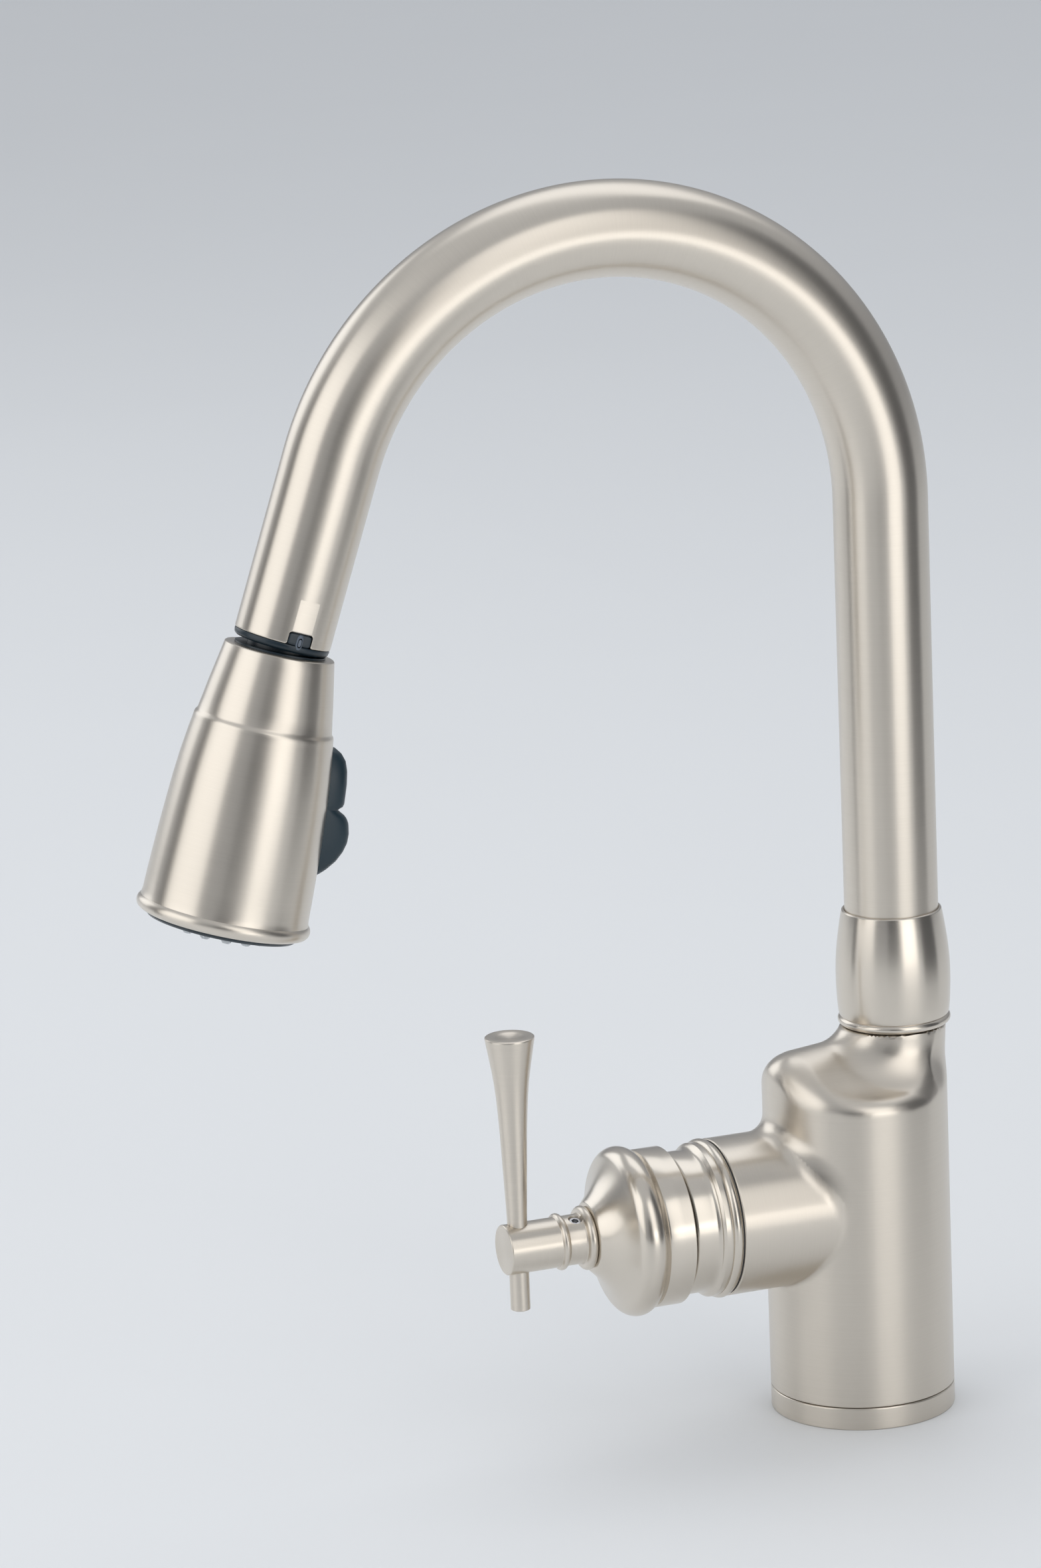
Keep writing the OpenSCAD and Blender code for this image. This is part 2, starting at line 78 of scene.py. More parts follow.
# ---------------------------------------------------------------- mesh helpers
def add_mesh(name, verts, faces, uvs, at, body, slot, material, replaces=(), polish=None,
             sharp=38.0):
    """A mesh from mm arrays. uvs has one (u, v) for each face corner, u along the brush lines."""
    mesh = bpy.data.meshes.new(name)
    mesh.from_pydata([tuple(v) for v in np.asarray(verts, float) * MM], [],
                     [tuple(int(i) for i in f) for f in faces])
    layer = mesh.uv_layers.new(name="lay")
    layer.data.foreach_set("uv", (np.asarray(uvs, float) * MM).astype(np.float32).ravel())
    if polish is not None:
        shine = mesh.attributes.new("polish", "FLOAT", "POINT")
        shine.data.foreach_set("value", np.asarray(polish, np.float32))
    mesh.validate()
    mesh.shade_smooth()
    mesh.set_sharp_from_angle(angle=math.radians(sharp))
    obj = bpy.data.objects.new(name, mesh)
    bpy.context.scene.collection.objects.link(obj)
    m = at.copy()
    m.translation = m.translation * MM
    obj.matrix_world = m
    obj.data.materials.append(material)
    if body is not None:
        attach(obj, body)
    if replaces:
        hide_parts(*replaces)
    return obj


def rounded(points, steps=5):
    """A profile of (r, s) or (r, s, fillet) corners. Each fillet is an arc with support points."""
    n = len(points)
    out = []
    for i, p in enumerate(points):
        here = np.array(p[:2], float)
        fillet = p[2] if len(p) > 2 else 0.0
        if not fillet or i in (0, n - 1):
            out.append(here)
            continue
        before = np.array(points[i - 1][:2], float) - here
        after = np.array(points[i + 1][:2], float) - here
        lb, la = np.linalg.norm(before), np.linalg.norm(after)
        before, after = before / lb, after / la
        half = math.acos(max(-1, min(1, float(before @ after)))) / 2
        if half > math.radians(88):
            out.append(here)
            continue
        back = min(fillet / math.tan(half), 0.48 * lb, 0.48 * la)
        radius = back * math.tan(half)
        mid = (before + after) / np.linalg.norm(before + after)
        centre = here + mid * math.hypot(back, radius)
        start, end = here + before * back, here + after * back
        if back < 0.4 * lb:
            out.append(start + before * min(0.25, 0.1 * lb))
        a0 = math.atan2(*(start - centre)[::-1])
        a1 = math.atan2(*(end - centre)[::-1])
        turn = (a1 - a0 + math.pi) % (2 * math.pi) - math.pi
        count = max(2, int(steps * abs(turn) / (math.pi / 2) * (1 + min(2.0, radius / 4))) + 1)
        for k in range(count + 1):
            a = a0 + turn * k / count
            out.append(centre + radius * np.array([math.cos(a), math.sin(a)]))
        if back < 0.4 * la:
            out.append(end + after * min(0.25, 0.1 * la))
    return np.array(out)


def arc(cr, cs, radius, start, end, count=10):
    """Points of a circular arc in a profile, angles in degrees from +r towards +s."""
    return [(cr + radius * math.cos(math.radians(a)), cs + radius * math.sin(math.radians(a)))
            for a in np.linspace(start, end, count + 1)]


def lathe_parts(profile, seg=128, closed=False, shape=None):
    """Vertices, faces and corner uvs of a profile turned about local Z.
    shape(r, s, angle) may move the points for threads and hexagons."""
    prof = np.asarray(profile, float)
    m = len(prof)
    ang = np.arange(seg) * 2 * math.pi / seg
    rad = np.repeat(prof[:, 0][:, None], seg, 1)
    s = np.repeat(prof[:, 1][:, None], seg, 1)
    a = np.repeat(ang[None, :], m, 0)
    if shape is not None:
        rad, s = shape(rad, s, a)
    verts = np.stack([rad * np.cos(a), rad * np.sin(a), s], -1).reshape(-1, 3)
    length = np.concatenate([[0], np.cumsum(np.hypot(*np.diff(prof, axis=0).T))])
    mean = float(np.max(prof[:, 0]))
    faces, uvs = [], []
    rows = m if closed else m - 1
    last = math.hypot(*(prof[0] - prof[-1]))
    for i in range(rows):
        j = (i + 1) % m
        v0, v1 = length[i], length[j] if j else length[i] + last
        for k in range(seg):
            n = (k + 1) % seg
            u0, u1 = mean * ang[k], mean * (ang[k] + 2 * math.pi / seg)
            quad = [(i * seg + k, u0, v0), (i * seg + n, u1, v0),
                    (j * seg + n, u1, v1), (j * seg + k, u0, v1)]
            if prof[i, 0] < 1e-6:
                quad = [quad[0], quad[2], quad[3]]
            elif prof[j, 0] < 1e-6:
                quad = quad[:3]
            faces.append([q[0] for q in quad])
            uvs += [(q[1], q[2]) for q in quad]
    return verts, faces, uvs


def merge_axis(verts, faces, profile, seg):
    """Points on the axis become one vertex."""
    same = np.arange(len(verts))
    for i, p in enumerate(np.asarray(profile)):
        if p[0] < 1e-6:
            same[i * seg:(i + 1) * seg] = i * seg
    return [[int(same[v]) for v in f] for f in faces]


def outward(verts, faces, uvs):
    """Turns every face over if the closed mesh is inside out."""
    v = np.asarray(verts)
    total = 0.0
    for f in faces:
        a = v[f[0]]
        for k in range(1, len(f) - 1):
            total += float(np.dot(a, np.cross(v[f[k]], v[f[k + 1]])))
    if total >= 0:
        return faces, uvs
    turned, out, at = [], [], 0
    for f in faces:
        turned.append(list(f)[::-1])
        out += list(uvs[at:at + len(f)])[::-1]
        at += len(f)
    return turned, out


def drop_loose(verts, faces):
    """The vertices that a face uses, and the faces renumbered for them."""
    used = sorted({i for f in faces for i in f})
    new = {old: k for k, old in enumerate(used)}
    return np.asarray(verts)[used], [[new[i] for i in f] for f in faces]


def turned(profile, seg=128, closed=False, shape=None):
    """A clean closed lathe: (verts, faces, uvs)."""
    verts, faces, uvs = lathe_parts(profile, seg, closed, shape)
    faces = merge_axis(verts, faces, profile, seg)
    faces, uvs = outward(verts, faces, uvs)
    verts, faces = drop_loose(verts, faces)
    return verts, faces, uvs


def join(*parts):
    """One part out of several (verts, faces, uvs)."""
    verts, faces, uvs, at = [], [], [], 0
    for v, f, uv in parts:
        verts.append(np.asarray(v, float))
        faces += [[i + at for i in face] for face in f]
        uvs += list(uv)
        at += len(v)
    return np.concatenate(verts), faces, uvs


def moved(part, matrix):
    """The part with its points put through a matrix."""
    v, f, uv = part
    m = np.array(matrix)
    return np.asarray(v) @ m[:3, :3].T + m[:3, 3], f, uv


def lathe(name, profile, at, body, slot, material, replaces=(), seg=128, closed=False,
          shape=None, polish=None, sharp=38.0):
    v, f, uv = turned(profile, seg, closed, shape)
    shine = None if polish is None else np.full(len(v), polish)
    return add_mesh(name, v, f, uv, at, body, slot, material, replaces, shine, sharp)


def sweep(centres, normals, sides, radius, seg=96, along=0.0, lengths=None):
    """A tube skin along centre points. normals and sides span each section."""
    a = np.arange(seg) * 2 * math.pi / seg
    rad = np.broadcast_to(np.asarray(radius, float), (len(centres),))
    rings = [c + r * (np.cos(a)[:, None] * n + np.sin(a)[:, None] * s)
             for c, n, s, r in zip(centres, normals, sides, rad)]
    verts = np.concatenate(rings)
    step = np.linalg.norm(np.diff(centres, axis=0), axis=1)
    length = np.concatenate([[0], np.cumsum(step)]) + along
    if lengths is not None:
        length = np.asarray(lengths, float)
    faces, uvs = [], []
    big = float(rad.max())
    for i in range(len(centres) - 1):
        for k in range(seg):
            n = (k + 1) % seg
            faces.append([i * seg + k, i * seg + n, (i + 1) * seg + n, (i + 1) * seg + k])
            u0, u1 = big * a[k], big * (a[k] + 2 * math.pi / seg)
            uvs += [(u0, length[i]), (u1, length[i]), (u1, length[i + 1]), (u0, length[i + 1])]
    return verts, faces, uvs


def surface_net(field, low, high, pitch):
    """Quads on the zero level of field(points), which is below zero inside."""
    low, high = np.array(low, float), np.array(high, float)
    count = np.ceil((high - low) / pitch).astype(int) + 1
    axes = [low[k] + pitch * np.arange(count[k]) for k in range(3)]
    grid = np.stack(np.meshgrid(*axes, indexing="ij"), -1)
    f = field(grid.reshape(-1, 3)).reshape(count)
    inside = f < 0
    total = np.zeros(tuple(count - 1) + (3,))
    hits = np.zeros(tuple(count - 1))
    for axis in range(3):
        lo = [slice(None)] * 3
        hi = [slice(None)] * 3
        lo[axis], hi[axis] = slice(None, -1), slice(1, None)
        fa, fb = f[tuple(lo)], f[tuple(hi)]
        cross = inside[tuple(lo)] != inside[tuple(hi)]
        t = np.where(cross, fa / np.where(cross, fa - fb, 1), 0)
        p = grid[tuple(lo)].copy()
        p[..., axis] += t * pitch
        others = [k for k in range(3) if k != axis]
        for da in (0, 1):
            for db in (0, 1):
                src = [slice(None)] * 3
                size = list(count - 1)
                src[others[0]] = slice(da, da + size[others[0]])
                src[others[1]] = slice(db, db + size[others[1]])
                c = cross[tuple(src)]
                total += np.where(c[..., None], p[tuple(src)], 0)
                hits += c
    live = hits > 0
    index = np.full(tuple(count - 1), -1)
    index[live] = np.arange(live.sum())
    verts = total[live] / hits[live][:, None]
    quads = []
    for axis in range(3):
        lo = [slice(None)] * 3
        hi = [slice(None)] * 3
        lo[axis], hi[axis] = slice(None, -1), slice(1, None)
        cross = inside[tuple(lo)] != inside[tuple(hi)]
        sign = inside[tuple(lo)]
        a, b = [(1, 2), (2, 0), (0, 1)][axis]
        keep = [slice(None)] * 3
        keep[a], keep[b] = slice(1, -1), slice(1, -1)
        idx = np.argwhere(cross[tuple(keep)])
        flip = ~sign[tuple(keep)][cross[tuple(keep)]]
        idx[:, a] += 1
        idx[:, b] += 1
        corners = []
        for da, db in ((-1, -1), (0, -1), (0, 0), (-1, 0)):
            q = idx.copy()
            q[:, a] += da
            q[:, b] += db
            corners.append(index[q[:, 0], q[:, 1], q[:, 2]])
        quad = np.stack(corners, 1)
        quad[flip] = quad[flip][:, ::-1]
        quads.append(quad)
    quads = np.concatenate(quads)
    h = 0.02
    for _ in range(5):
        grad = np.stack([(field(verts + h * e) - field(verts - h * e)) / (2 * h)
                         for e in np.eye(3)], 1)
        d = field(verts)
        step = d[:, None] * grad / np.maximum((grad ** 2).sum(1), 0.3)[:, None]
        size = np.linalg.norm(step, axis=1, keepdims=True)
        verts = verts - step * np.minimum(1, 0.5 * pitch / np.maximum(size, 1e-9))
    return verts, quads


def round_union(a, b, r):
    """Union of two fields with a fillet of radius r."""
    ua, ub = np.maximum(r - a, 0), np.maximum(r - b, 0)
    return np.maximum(r, np.minimum(a, b)) - np.hypot(ua, ub)


def round_cut(a, b, r):
    """Intersection of a and b with a rounded edge."""
    ua, ub = np.maximum(r + a, 0), np.maximum(r + b, 0)
    return np.minimum(-r, np.maximum(a, b)) + np.hypot(ua, ub)


def ramp(x, a, b):
    """0 below a, 1 above b, and smooth between."""
    t = np.clip((x - a) / (b - a), 0, 1)
    return t * t * (3 - 2 * t)


# ---------------------------------------------------------------- materials
class Shader:
    """A small builder for one node material."""

    def __init__(self, name):
        self.mat = bpy.data.materials.new(name)
        self.mat.use_nodes = True
        self.tree = self.mat.node_tree
        self.tree.nodes.clear()
        self.out = self.tree.nodes.new("ShaderNodeOutputMaterial")

    def node(self, kind, inputs=None, **props):
        n = self.tree.nodes.new("ShaderNode" + kind)
        for key, value in props.items():
            setattr(n, key, value)
        for key, value in (inputs or {}).items():
            self.feed(n.inputs[key], value)
        return n

    def feed(self, socket, value):
        if isinstance(value, bpy.types.NodeSocket):
            self.tree.links.new(value, socket)
        elif isinstance(value, bpy.types.Node):
            self.tree.links.new(value.outputs[0], socket)
        else:
            socket.default_value = value

    def noise(self, vector, scale, detail=3.0, rough=0.55):
        return self.node("TexNoise", {"Vector": vector, "Scale": scale, "Detail": detail,
                                      "Roughness": rough}).outputs["Fac"]

    def stretched(self, vector, x, y, z=1.0):
        return self.node("Mapping", {"Vector": vector, "Scale": (x, y, z)}, vector_type="POINT")

    def math(self, operation, a, b=0.0, clamp=False):
        return self.node("Math", {0: a, 1: b}, operation=operation, use_clamp=clamp).outputs[0]

    def span(self, value, low, high, low_out, high_out):
        return self.node("MapRange", {"Value": value, "From Min": low, "From Max": high,
                                      "To Min": low_out, "To Max": high_out}).outputs["Result"]

    def tint(self, value, dark, light):
        ramp_node = self.node("ValToRGB", {"Fac": value})
        ramp_node.color_ramp.elements[0].color = (*dark, 1)
        ramp_node.color_ramp.elements[1].color = (*light, 1)
        return ramp_node.outputs["Color"]

    def bump(self, height, strength, distance, normal=None):
        inputs = {"Height": height, "Strength": strength, "Distance": distance}
        if normal is not None:
            inputs["Normal"] = normal
        return self.node("Bump", inputs).outputs["Normal"]

    def finish(self, **inputs):
        p = self.node("BsdfPrincipled")
        for key, value in inputs.items():
            self.feed(p.inputs[key.replace("_", " ")], value)
        self.tree.links.new(p.outputs[0], self.out.inputs["Surface"])
        return self.mat


def brushed(name, dark, light, rough, lines, aniso, spread=0.05):
    """Satin metal with fine lines along the lay UV, fainter where the polish attribute is high."""
    s = Shader(name)
    uv = s.node("UVMap", uv_map="lay")
    polish = s.node("Attribute", attribute_name="polish").outputs["Fac"]
    fine = s.noise(s.stretched(uv, 30, 7000), 1.0, 4.0, 0.62)
    wide = s.noise(s.stretched(uv, 8, 1500), 1.0, 2.0, 0.5)
    soft = s.noise(s.node("TexCoord").outputs["Object"], 55.0, 3.0)
    keep = s.math("SUBTRACT", 1.0, polish, clamp=True)
    mix = s.math("ADD", s.math("MULTIPLY", fine, 0.7), s.math("MULTIPLY", wide, 0.3))
    worn = s.math("ADD", mix, s.span(soft, 0.3, 0.7, -0.05, 0.05))
    roughness = s.span(worn, 0.3, 0.7, rough - spread, rough + spread)
    line_strength = s.math("MULTIPLY", keep, lines)
    normal = s.bump(mix, line_strength, 0.00006)
    tangent = s.node("Tangent", direction_type="UV_MAP", uv_map="lay")
    return s.finish(Base_Color=s.tint(s.span(worn, 0.25, 0.75, 0, 1), dark, light), Metallic=1.0,
                    Roughness=roughness, Anisotropic=aniso,
                    Anisotropic_Rotation=0.25, Tangent=tangent.outputs[0], Normal=normal)


def moulded(name, dark, light, rough, grain=900.0, depth=0.00004, strength=0.25):
    """Moulded plastic or rubber with a fine grain."""
    s = Shader(name)
    at = s.node("TexCoord").outputs["Object"]
    small, large = s.noise(at, grain, 3.0), s.noise(at, grain / 18, 2.0)
    roughness = s.span(large, 0.3, 0.7, rough - 0.06, rough + 0.06)
    return s.finish(Base_Color=s.tint(large, dark, light), Roughness=roughness,
                    Normal=s.bump(small, strength, depth))


def turned_metal(name, dark, light, rough):
    """Machined metal with tool marks, for the pieces inside."""
    s = Shader(name)
    at = s.node("TexCoord").outputs["Object"]
    marks = s.noise(s.stretched(at, 300, 300, 5000), 1.0, 3.0)
    blotch = s.noise(at, 120.0, 4.0)
    return s.finish(Base_Color=s.tint(blotch, dark, light), Metallic=1.0,
                    Roughness=s.span(marks, 0.3, 0.7, rough - 0.06, rough + 0.08),
                    Normal=s.bump(marks, 0.2, 0.00003))


def clear_silicone(name):
    s = Shader(name)
    at = s.node("TexCoord").outputs["Object"]
    cloud = s.noise(at, 400.0, 3.0)
    return s.finish(Base_Color=s.tint(cloud, (0.70, 0.74, 0.78), (0.92, 0.94, 0.95)),
                    Roughness=s.span(cloud, 0.3, 0.7, 0.08, 0.2), Transmission_Weight=0.5, IOR=1.41,
                    Normal=s.bump(s.noise(at, 2500.0, 2.0), 0.15, 0.00003))


def braid(name):
    """Woven nylon over a hose, from the lay UV: u round the hose, v along it."""
    s = Shader(name)
    uv = s.node("UVMap", uv_map="lay").outputs[0]
    split = s.node("SeparateXYZ", {"Vector": uv})
    turn = s.math("MULTIPLY", split.outputs[0], BRAID_STRANDS / (HOSE_R * MM))
    down = s.math("MULTIPLY", split.outputs[1], BRAID_PITCH)
    one = s.math("SINE", s.math("ADD", turn, down))
    two = s.math("SINE", s.math("SUBTRACT", turn, down))
    weave = s.span(s.math("MAXIMUM", one, two), -1, 1, 0, 1)
    thread = s.noise(s.stretched(uv, 3000, 3000), 1.0, 3.0)
    height = s.math("ADD", weave, s.math("MULTIPLY", thread, 0.3))
    # The colour follows the weave's height: painted shade, darkest in the gaps between the strands.
    shade = s.tint(s.math("MULTIPLY", height, 0.8), (0.05, 0.052, 0.056), (0.34, 0.35, 0.37))
    return s.finish(Base_Color=shade, Roughness=s.span(thread, 0.3, 0.7, 0.45, 0.7),
                    Normal=s.bump(height, 0.7, 0.0003))


NICKEL = brushed("satin_nickel", (0.660, 0.607, 0.533), (0.708, 0.654, 0.578), 0.32, 0.012, 0.6,
                 0.022)
FINE_NICKEL = brushed("fine_nickel", (0.665, 0.612, 0.538), (0.700, 0.647, 0.573), 0.25, 0.006, 0.4,
                      0.012)
BRASS = turned_metal("brass", (0.55, 0.38, 0.14), (0.78, 0.60, 0.30), 0.28)
STEEL = turned_metal("steel", (0.40, 0.40, 0.41), (0.62, 0.62, 0.63), 0.3)
RUBBER = moulded("black_rubber", (0.012, 0.012, 0.013), (0.03, 0.03, 0.031), 0.62)
BLACK = moulded("black_plastic", (0.004, 0.011, 0.017), (0.010, 0.024, 0.036), 0.3, 1500.0)
BUTTON = moulded("button_plastic", (0.006, 0.019, 0.029), (0.012, 0.034, 0.050), 0.36, 1300.0,
                 0.00003, 0.2)
WHITE = moulded("white_plastic", (0.74, 0.73, 0.70), (0.85, 0.84, 0.81), 0.4)
CERAMIC = moulded("ceramic", (0.82, 0.80, 0.77), (0.90, 0.89, 0.87), 0.15, 2500.0, 0.00002, 0.1)
SILICONE = clear_silicone("clear_silicone")
HOSE = braid("hose_braid")
# The ribs' lighter grey-blue over the black key plastic is a painted highlight.
RIB_PAINTED_HIGHLIGHT = moulded("rib_plastic_painted_highlight", (0.07, 0.09, 0.12), (0.12, 0.15, 0.19), 0.3, 1500.0)

# hidden CAD pieces keep their shape and take a real finish
for slot_material, names in (
        (RUBBER, ("base_gasket", "deck_washer_rubber", "port_seals", "bonnet_seal", "swivel_seal")),
        (WHITE, ("cartridge_housing", "cartridge_carrier", "swivel_bushings", "check_valve",
                 "diverter_spool")),
        (CERAMIC, ("disc_fixed", "disc_moving")),
        (STEEL, ("pivot_pin", "stem", "snap_ring", "rocker_pin", "deck_washer_steel")),
        (BRASS, ("cartridge_nut", "swivel_stub", "hose_nut")),
        (BLACK, ("head_core",))):
    for node_name in names:
        node = NODES[node_name]
        if not node.material_slots:
            node.data.materials.append(slot_material)
        for material_slot in node.material_slots:
            material_slot.link = "OBJECT"
            material_slot.material = slot_material


# ---------------------------------------------------------------- body casting
def hose_y(z):
    """Depth of the hose's axis in the body, an S-bend from the shank to the neck."""
    rise = np.clip((z - BEND_Z) / BEND_H, 0, 1)
    return SHANK_Y + (NECK_Y - SHANK_Y) * (0.5 - 0.5 * np.cos(math.pi * rise))


def body_field(p):
    """Distance in mm outside the casting, below zero in its metal."""
    x, y, z = p.T
    wall = np.hypot(x, y) - BODY_R
    centre = 13.2 + 1.4 * np.clip((z - 103) / 22.6, 0, 1.2)
    neck = np.hypot(x, y - centre) - NECK_R
    # the bar is the nose that runs forward from the neck over the barrel
    slope = 0.12 * np.clip(y + 22, 0, 12)
    bar = np.maximum(np.hypot(x, z - TONGUE_Z - slope) - 17.0, y - centre)
    crown = round_union(round_union(neck, bar, 9.0), z - SHOULDER_Z, 13.0)
    # the shoulder's edge is rolled, and rolled further at the nose
    front = np.degrees(np.arctan2(np.abs(x), -y))
    crown = round_cut(crown, wall, 4.2 + 5.0 * (1 - ramp(front, 20, 55)))
    crown = round_union(crown, neck, 1.5)
    crown = round_cut(crown, z - NECK_TOP, 0.8)
    barrel = np.maximum(np.hypot(x, z - VALVE_Z) - BARREL_R, y)
    solid = round_union(crown, barrel, 1.0 + 4.5 * ramp(z, 66, 94))
    # hose way, bore and groove of the neck, cartridge's bore, nut's thread and shank's socket
    holes = np.hypot(x, y - hose_y(z)) - HOSE_BORE
    holes = np.minimum(holes, np.maximum(np.hypot(x, y - NECK_Y) - NECK_BORE, 103 - z))
    holes = np.minimum(holes, np.maximum(np.hypot(x, y - NECK_Y) - 14.6, np.maximum(100 - z, z - 104)))
    across = np.hypot(x, z - VALVE_Z)
    holes = np.minimum(holes, np.maximum(across - CARTRIDGE_R, y + 27))
    holes = np.minimum(holes, np.maximum(across - NUT_R, y + 42))
    holes = np.minimum(holes, np.maximum(np.hypot(x, y) - SOCKET_R, z - 22))
    return np.maximum(solid, -holes)


def clipped(verts, quads, planes):
    """The mesh with everything on the outer side of each (point, normal) plane cut away."""
    mesh = bpy.data.meshes.new("clip")
    mesh.from_pydata([tuple(v) for v in verts], [], [tuple(int(i) for i in q) for q in quads])
    bm = bmesh.new()
    bm.from_mesh(mesh)
    for point, normal in planes:
        bmesh.ops.bisect_plane(bm, geom=bm.verts[:] + bm.edges[:] + bm.faces[:], dist=1e-5,
                               plane_co=point, plane_no=normal, clear_outer=True)
    bm.verts.index_update()
    out_v = np.array([v.co for v in bm.verts])
    out_f = [[v.index for v in f.verts] for f in bm.faces]
    bm.free()
    bpy.data.meshes.remove(mesh)
    return out_v, out_f


def body_uv(verts, faces):
    """Brush lines round the barrel on the barrel, and round the body elsewhere."""
    uvs = []
    for f in faces:
        v = verts[f]
        c = v.mean(0)
        barrel = (c[1] < 0 and math.hypot(c[0], c[1]) > BODY_R + 0.4
                  and math.hypot(c[0], c[2] - VALVE_Z) < 26.5)
        a = np.arctan2(v[:, 2] - VALVE_Z, v[:, 0]) if barrel else np.arctan2(v[:, 1], v[:, 0])
        first = math.atan2(c[2] - VALVE_Z, c[0]) if barrel else math.atan2(c[1], c[0])
        a = first + (a - first + math.pi) % (2 * math.pi) - math.pi
        u = a * (BARREL_R if barrel else BODY_R)
        w = -v[:, 1] if barrel else v[:, 2]
        uvs += list(zip(u, w))
    return uvs


def make_body():
    verts, quads = surface_net(body_field, (-31.5, -53, 5), (31.5, 33, 128), 0.9)
    verts, faces = clipped(verts, quads, (((0, 0, 10), (0, 0, -1)), ((0, -48, 0), (0, -1, 0))))
    skin = (verts, faces, body_uv(verts, faces))
    low = RING_H + 0.2
    foot = lathe_parts(rounded([(BODY_R, 10), (BODY_R, low, 0.45), (SOCKET_R, low, 0.3),
                                (SOCKET_R, 10)]), 192)
    mouth = lathe_parts(rounded([(NUT_R, 48), (NUT_R, BARREL_LEN, 0.3), (BARREL_R, BARREL_LEN, 0.5),
                                 (BARREL_R, 48)]), 192)
    foot = (foot[0], [f[::-1] for f in foot[1]], flip_uv(foot))
    v, f, uv = join(skin, foot, moved(mouth, VALVE))
    x, y, z = v.T
    wall = np.abs(np.hypot(x, y) - BODY_R)
    edge = np.abs(np.hypot(x, z - VALVE_Z) - BARREL_R)
    near = 1 - ramp(np.maximum(wall, edge), 2.0, 4.5)
    shine = np.maximum(near * ramp(z, 60, 85) * (y < 0), ramp(z, 103.0, 105.0))
    add_mesh("body_casting", v, f, uv, UP, "tap_body", "nickel", NICKEL, ("body",), shine, 40)


def flip_uv(part):
    """The corner uvs of a part whose faces are turned over."""
    out, at = [], 0
    for f in part[1]:
        out += list(part[2][at:at + len(f)])[::-1]
        at += len(f)
    return out


make_body()
lathe("base_flange", rounded([(17.3, 0), (20.5, 0, 0.2), (20.5, 1.9, 0.2), (27, 1.9, 0.2), (27, 0, 0.2),
                              (BODY_R, 0, 0.4), (BODY_R, RING_H, 0.5), (17.3, RING_H, 0.3)]),
      UP, "tap_body", "nickel", NICKEL, ("base_ring",), 192, True)

# ---------------------------------------------------------------- deck fixing
def threads(low, high, depth, pitch, radius):
    """A helical thread cut into points at the radius, between two heights, fading at the ends."""
    def shape(r, s, a):
        wave = np.abs(((s / pitch - a / (2 * math.pi)) % 1) * 2 - 1)
        fade = ramp(s, low, low + pitch) * (1 - ramp(s, high - pitch, high))
        on = np.abs(r - radius) < 0.05
        return r - depth * (1 - wave) * fade * on, s
    return shape


shank_rows = [(SHANK_R, s) for s in np.arange(-46.9, -20.4, 0.25)]
lathe("shank_tube",
      [(14.0, 21.9), (14.0, SHANK_LOW), (16.2, SHANK_LOW), (16.8, SHANK_LOW + 0.6)] + shank_rows +
      [(16.5, -20.2), (16.4, -20.0), (16.4, -18.6), (16.6, -18.5), (17.0, -18.2), (17.0, -0.2),
       (16.5, 0.05), (16.5, 21.7), (16.3, 21.9)],
      UP, "tap_body", "brass", BRASS, ("shank",), 96, True, threads(-47.5, -20.6, 0.75, 2.0, SHANK_R))


def hexagon(flat, low, high):
    """Moves the points beyond the bore onto a hexagon with turned-off corners."""
    def shape(r, s, a):
        side = flat / np.cos((a + math.pi / 6) % (math.pi / 3) - math.pi / 6)
        height = np.minimum(s - low, high - s)
        limit = flat * 1.08 + np.maximum(height, 0) * 1.6
        return np.where(r > flat * 0.98, np.minimum(side, limit), r), s
    return shape


nut_side = [(20.9, s) for s in (-36, -35.6, -35.2, -34.8, -34.2, -33.0, -30.6, -29.6, -28.9, -28.4,
                                -28.1)]
nut_hexagon = turned([(17.07, -36.0), (19.8, -36.0)] + nut_side + [(17.07, -28.1)], 144, True,
                     hexagon(20.8, -36, -27.0))
nut_flange = turned(rounded([(17.07, -28.1), (17.07, -25.1), (26, -25.1, 0.5), (26, -28.1, 0.8)]),
                    144, True)
add_mesh("clamp_nut", *join(nut_hexagon, nut_flange), UP, "deck_nut", "brass", BRASS, ("mounting_nut",))

# ---------------------------------------------------------------- valve trim and handle
lathe("barrel_bonnet",
      rounded([(20.9, -1.8), (20.9, 0.05), (24.9, 0.45, 0.3)] +
              arc(24.0, 2.1, 1.62, -70, 70, 10) +
              [(24.65, 3.75), (24.7, 4.6), (24.7, 6.0)] + arc(24.9, 8.6, 2.0, 245, 182, 7) +
              [(22.9, 9.4), (22.9, 14.5)] + arc(0, -5, 30.2, 40.9, 55.8, 12) +
              [(16.8, 19.9), (16.8, 18.0)] + arc(0, -5, 28.2, 53.2, 47.8, 6) +
              [(19, 15.6), (19, -1.8)]),
      place((0, -BARREL_LEN, VALVE_Z), math.pi / 2), "tap_body", "polished_nickel", FINE_NICKEL,
      ("bonnet",), 192, True, polish=0.3)

bell_band = [(23.7, 66.6), (25.0, 66.5), (25.3, 66.8), (25.3, 70), (25.3, 74.9), (25.1, 75.35),
             (24.6, 75.55)]
bell_flare = [(24.0, 85.25), (22.9, 85.65), (21.4, 86.25), (19.8, 86.95), (18.2, 87.75),
              (16.6, 88.7), (15.1, 89.75), (13.8, 90.85), (12.7, 91.9), (11.8, 92.8), (11.2, 93.4),
              (10.8, 93.6)]
bell_inside = [(5.6, 93.6), (5.6, 89.0), (9, 89), (15, 86), (21, 83), (23.7, 80)]
bell = bell_band + arc(22.2, 80.6, 5.0, -54, 62, 14) + bell_flare + bell_inside
lathe("handle_bell", bell, VALVE, "handle", "polished_nickel", FINE_NICKEL, ("handle_skirt",), 192,
      True)

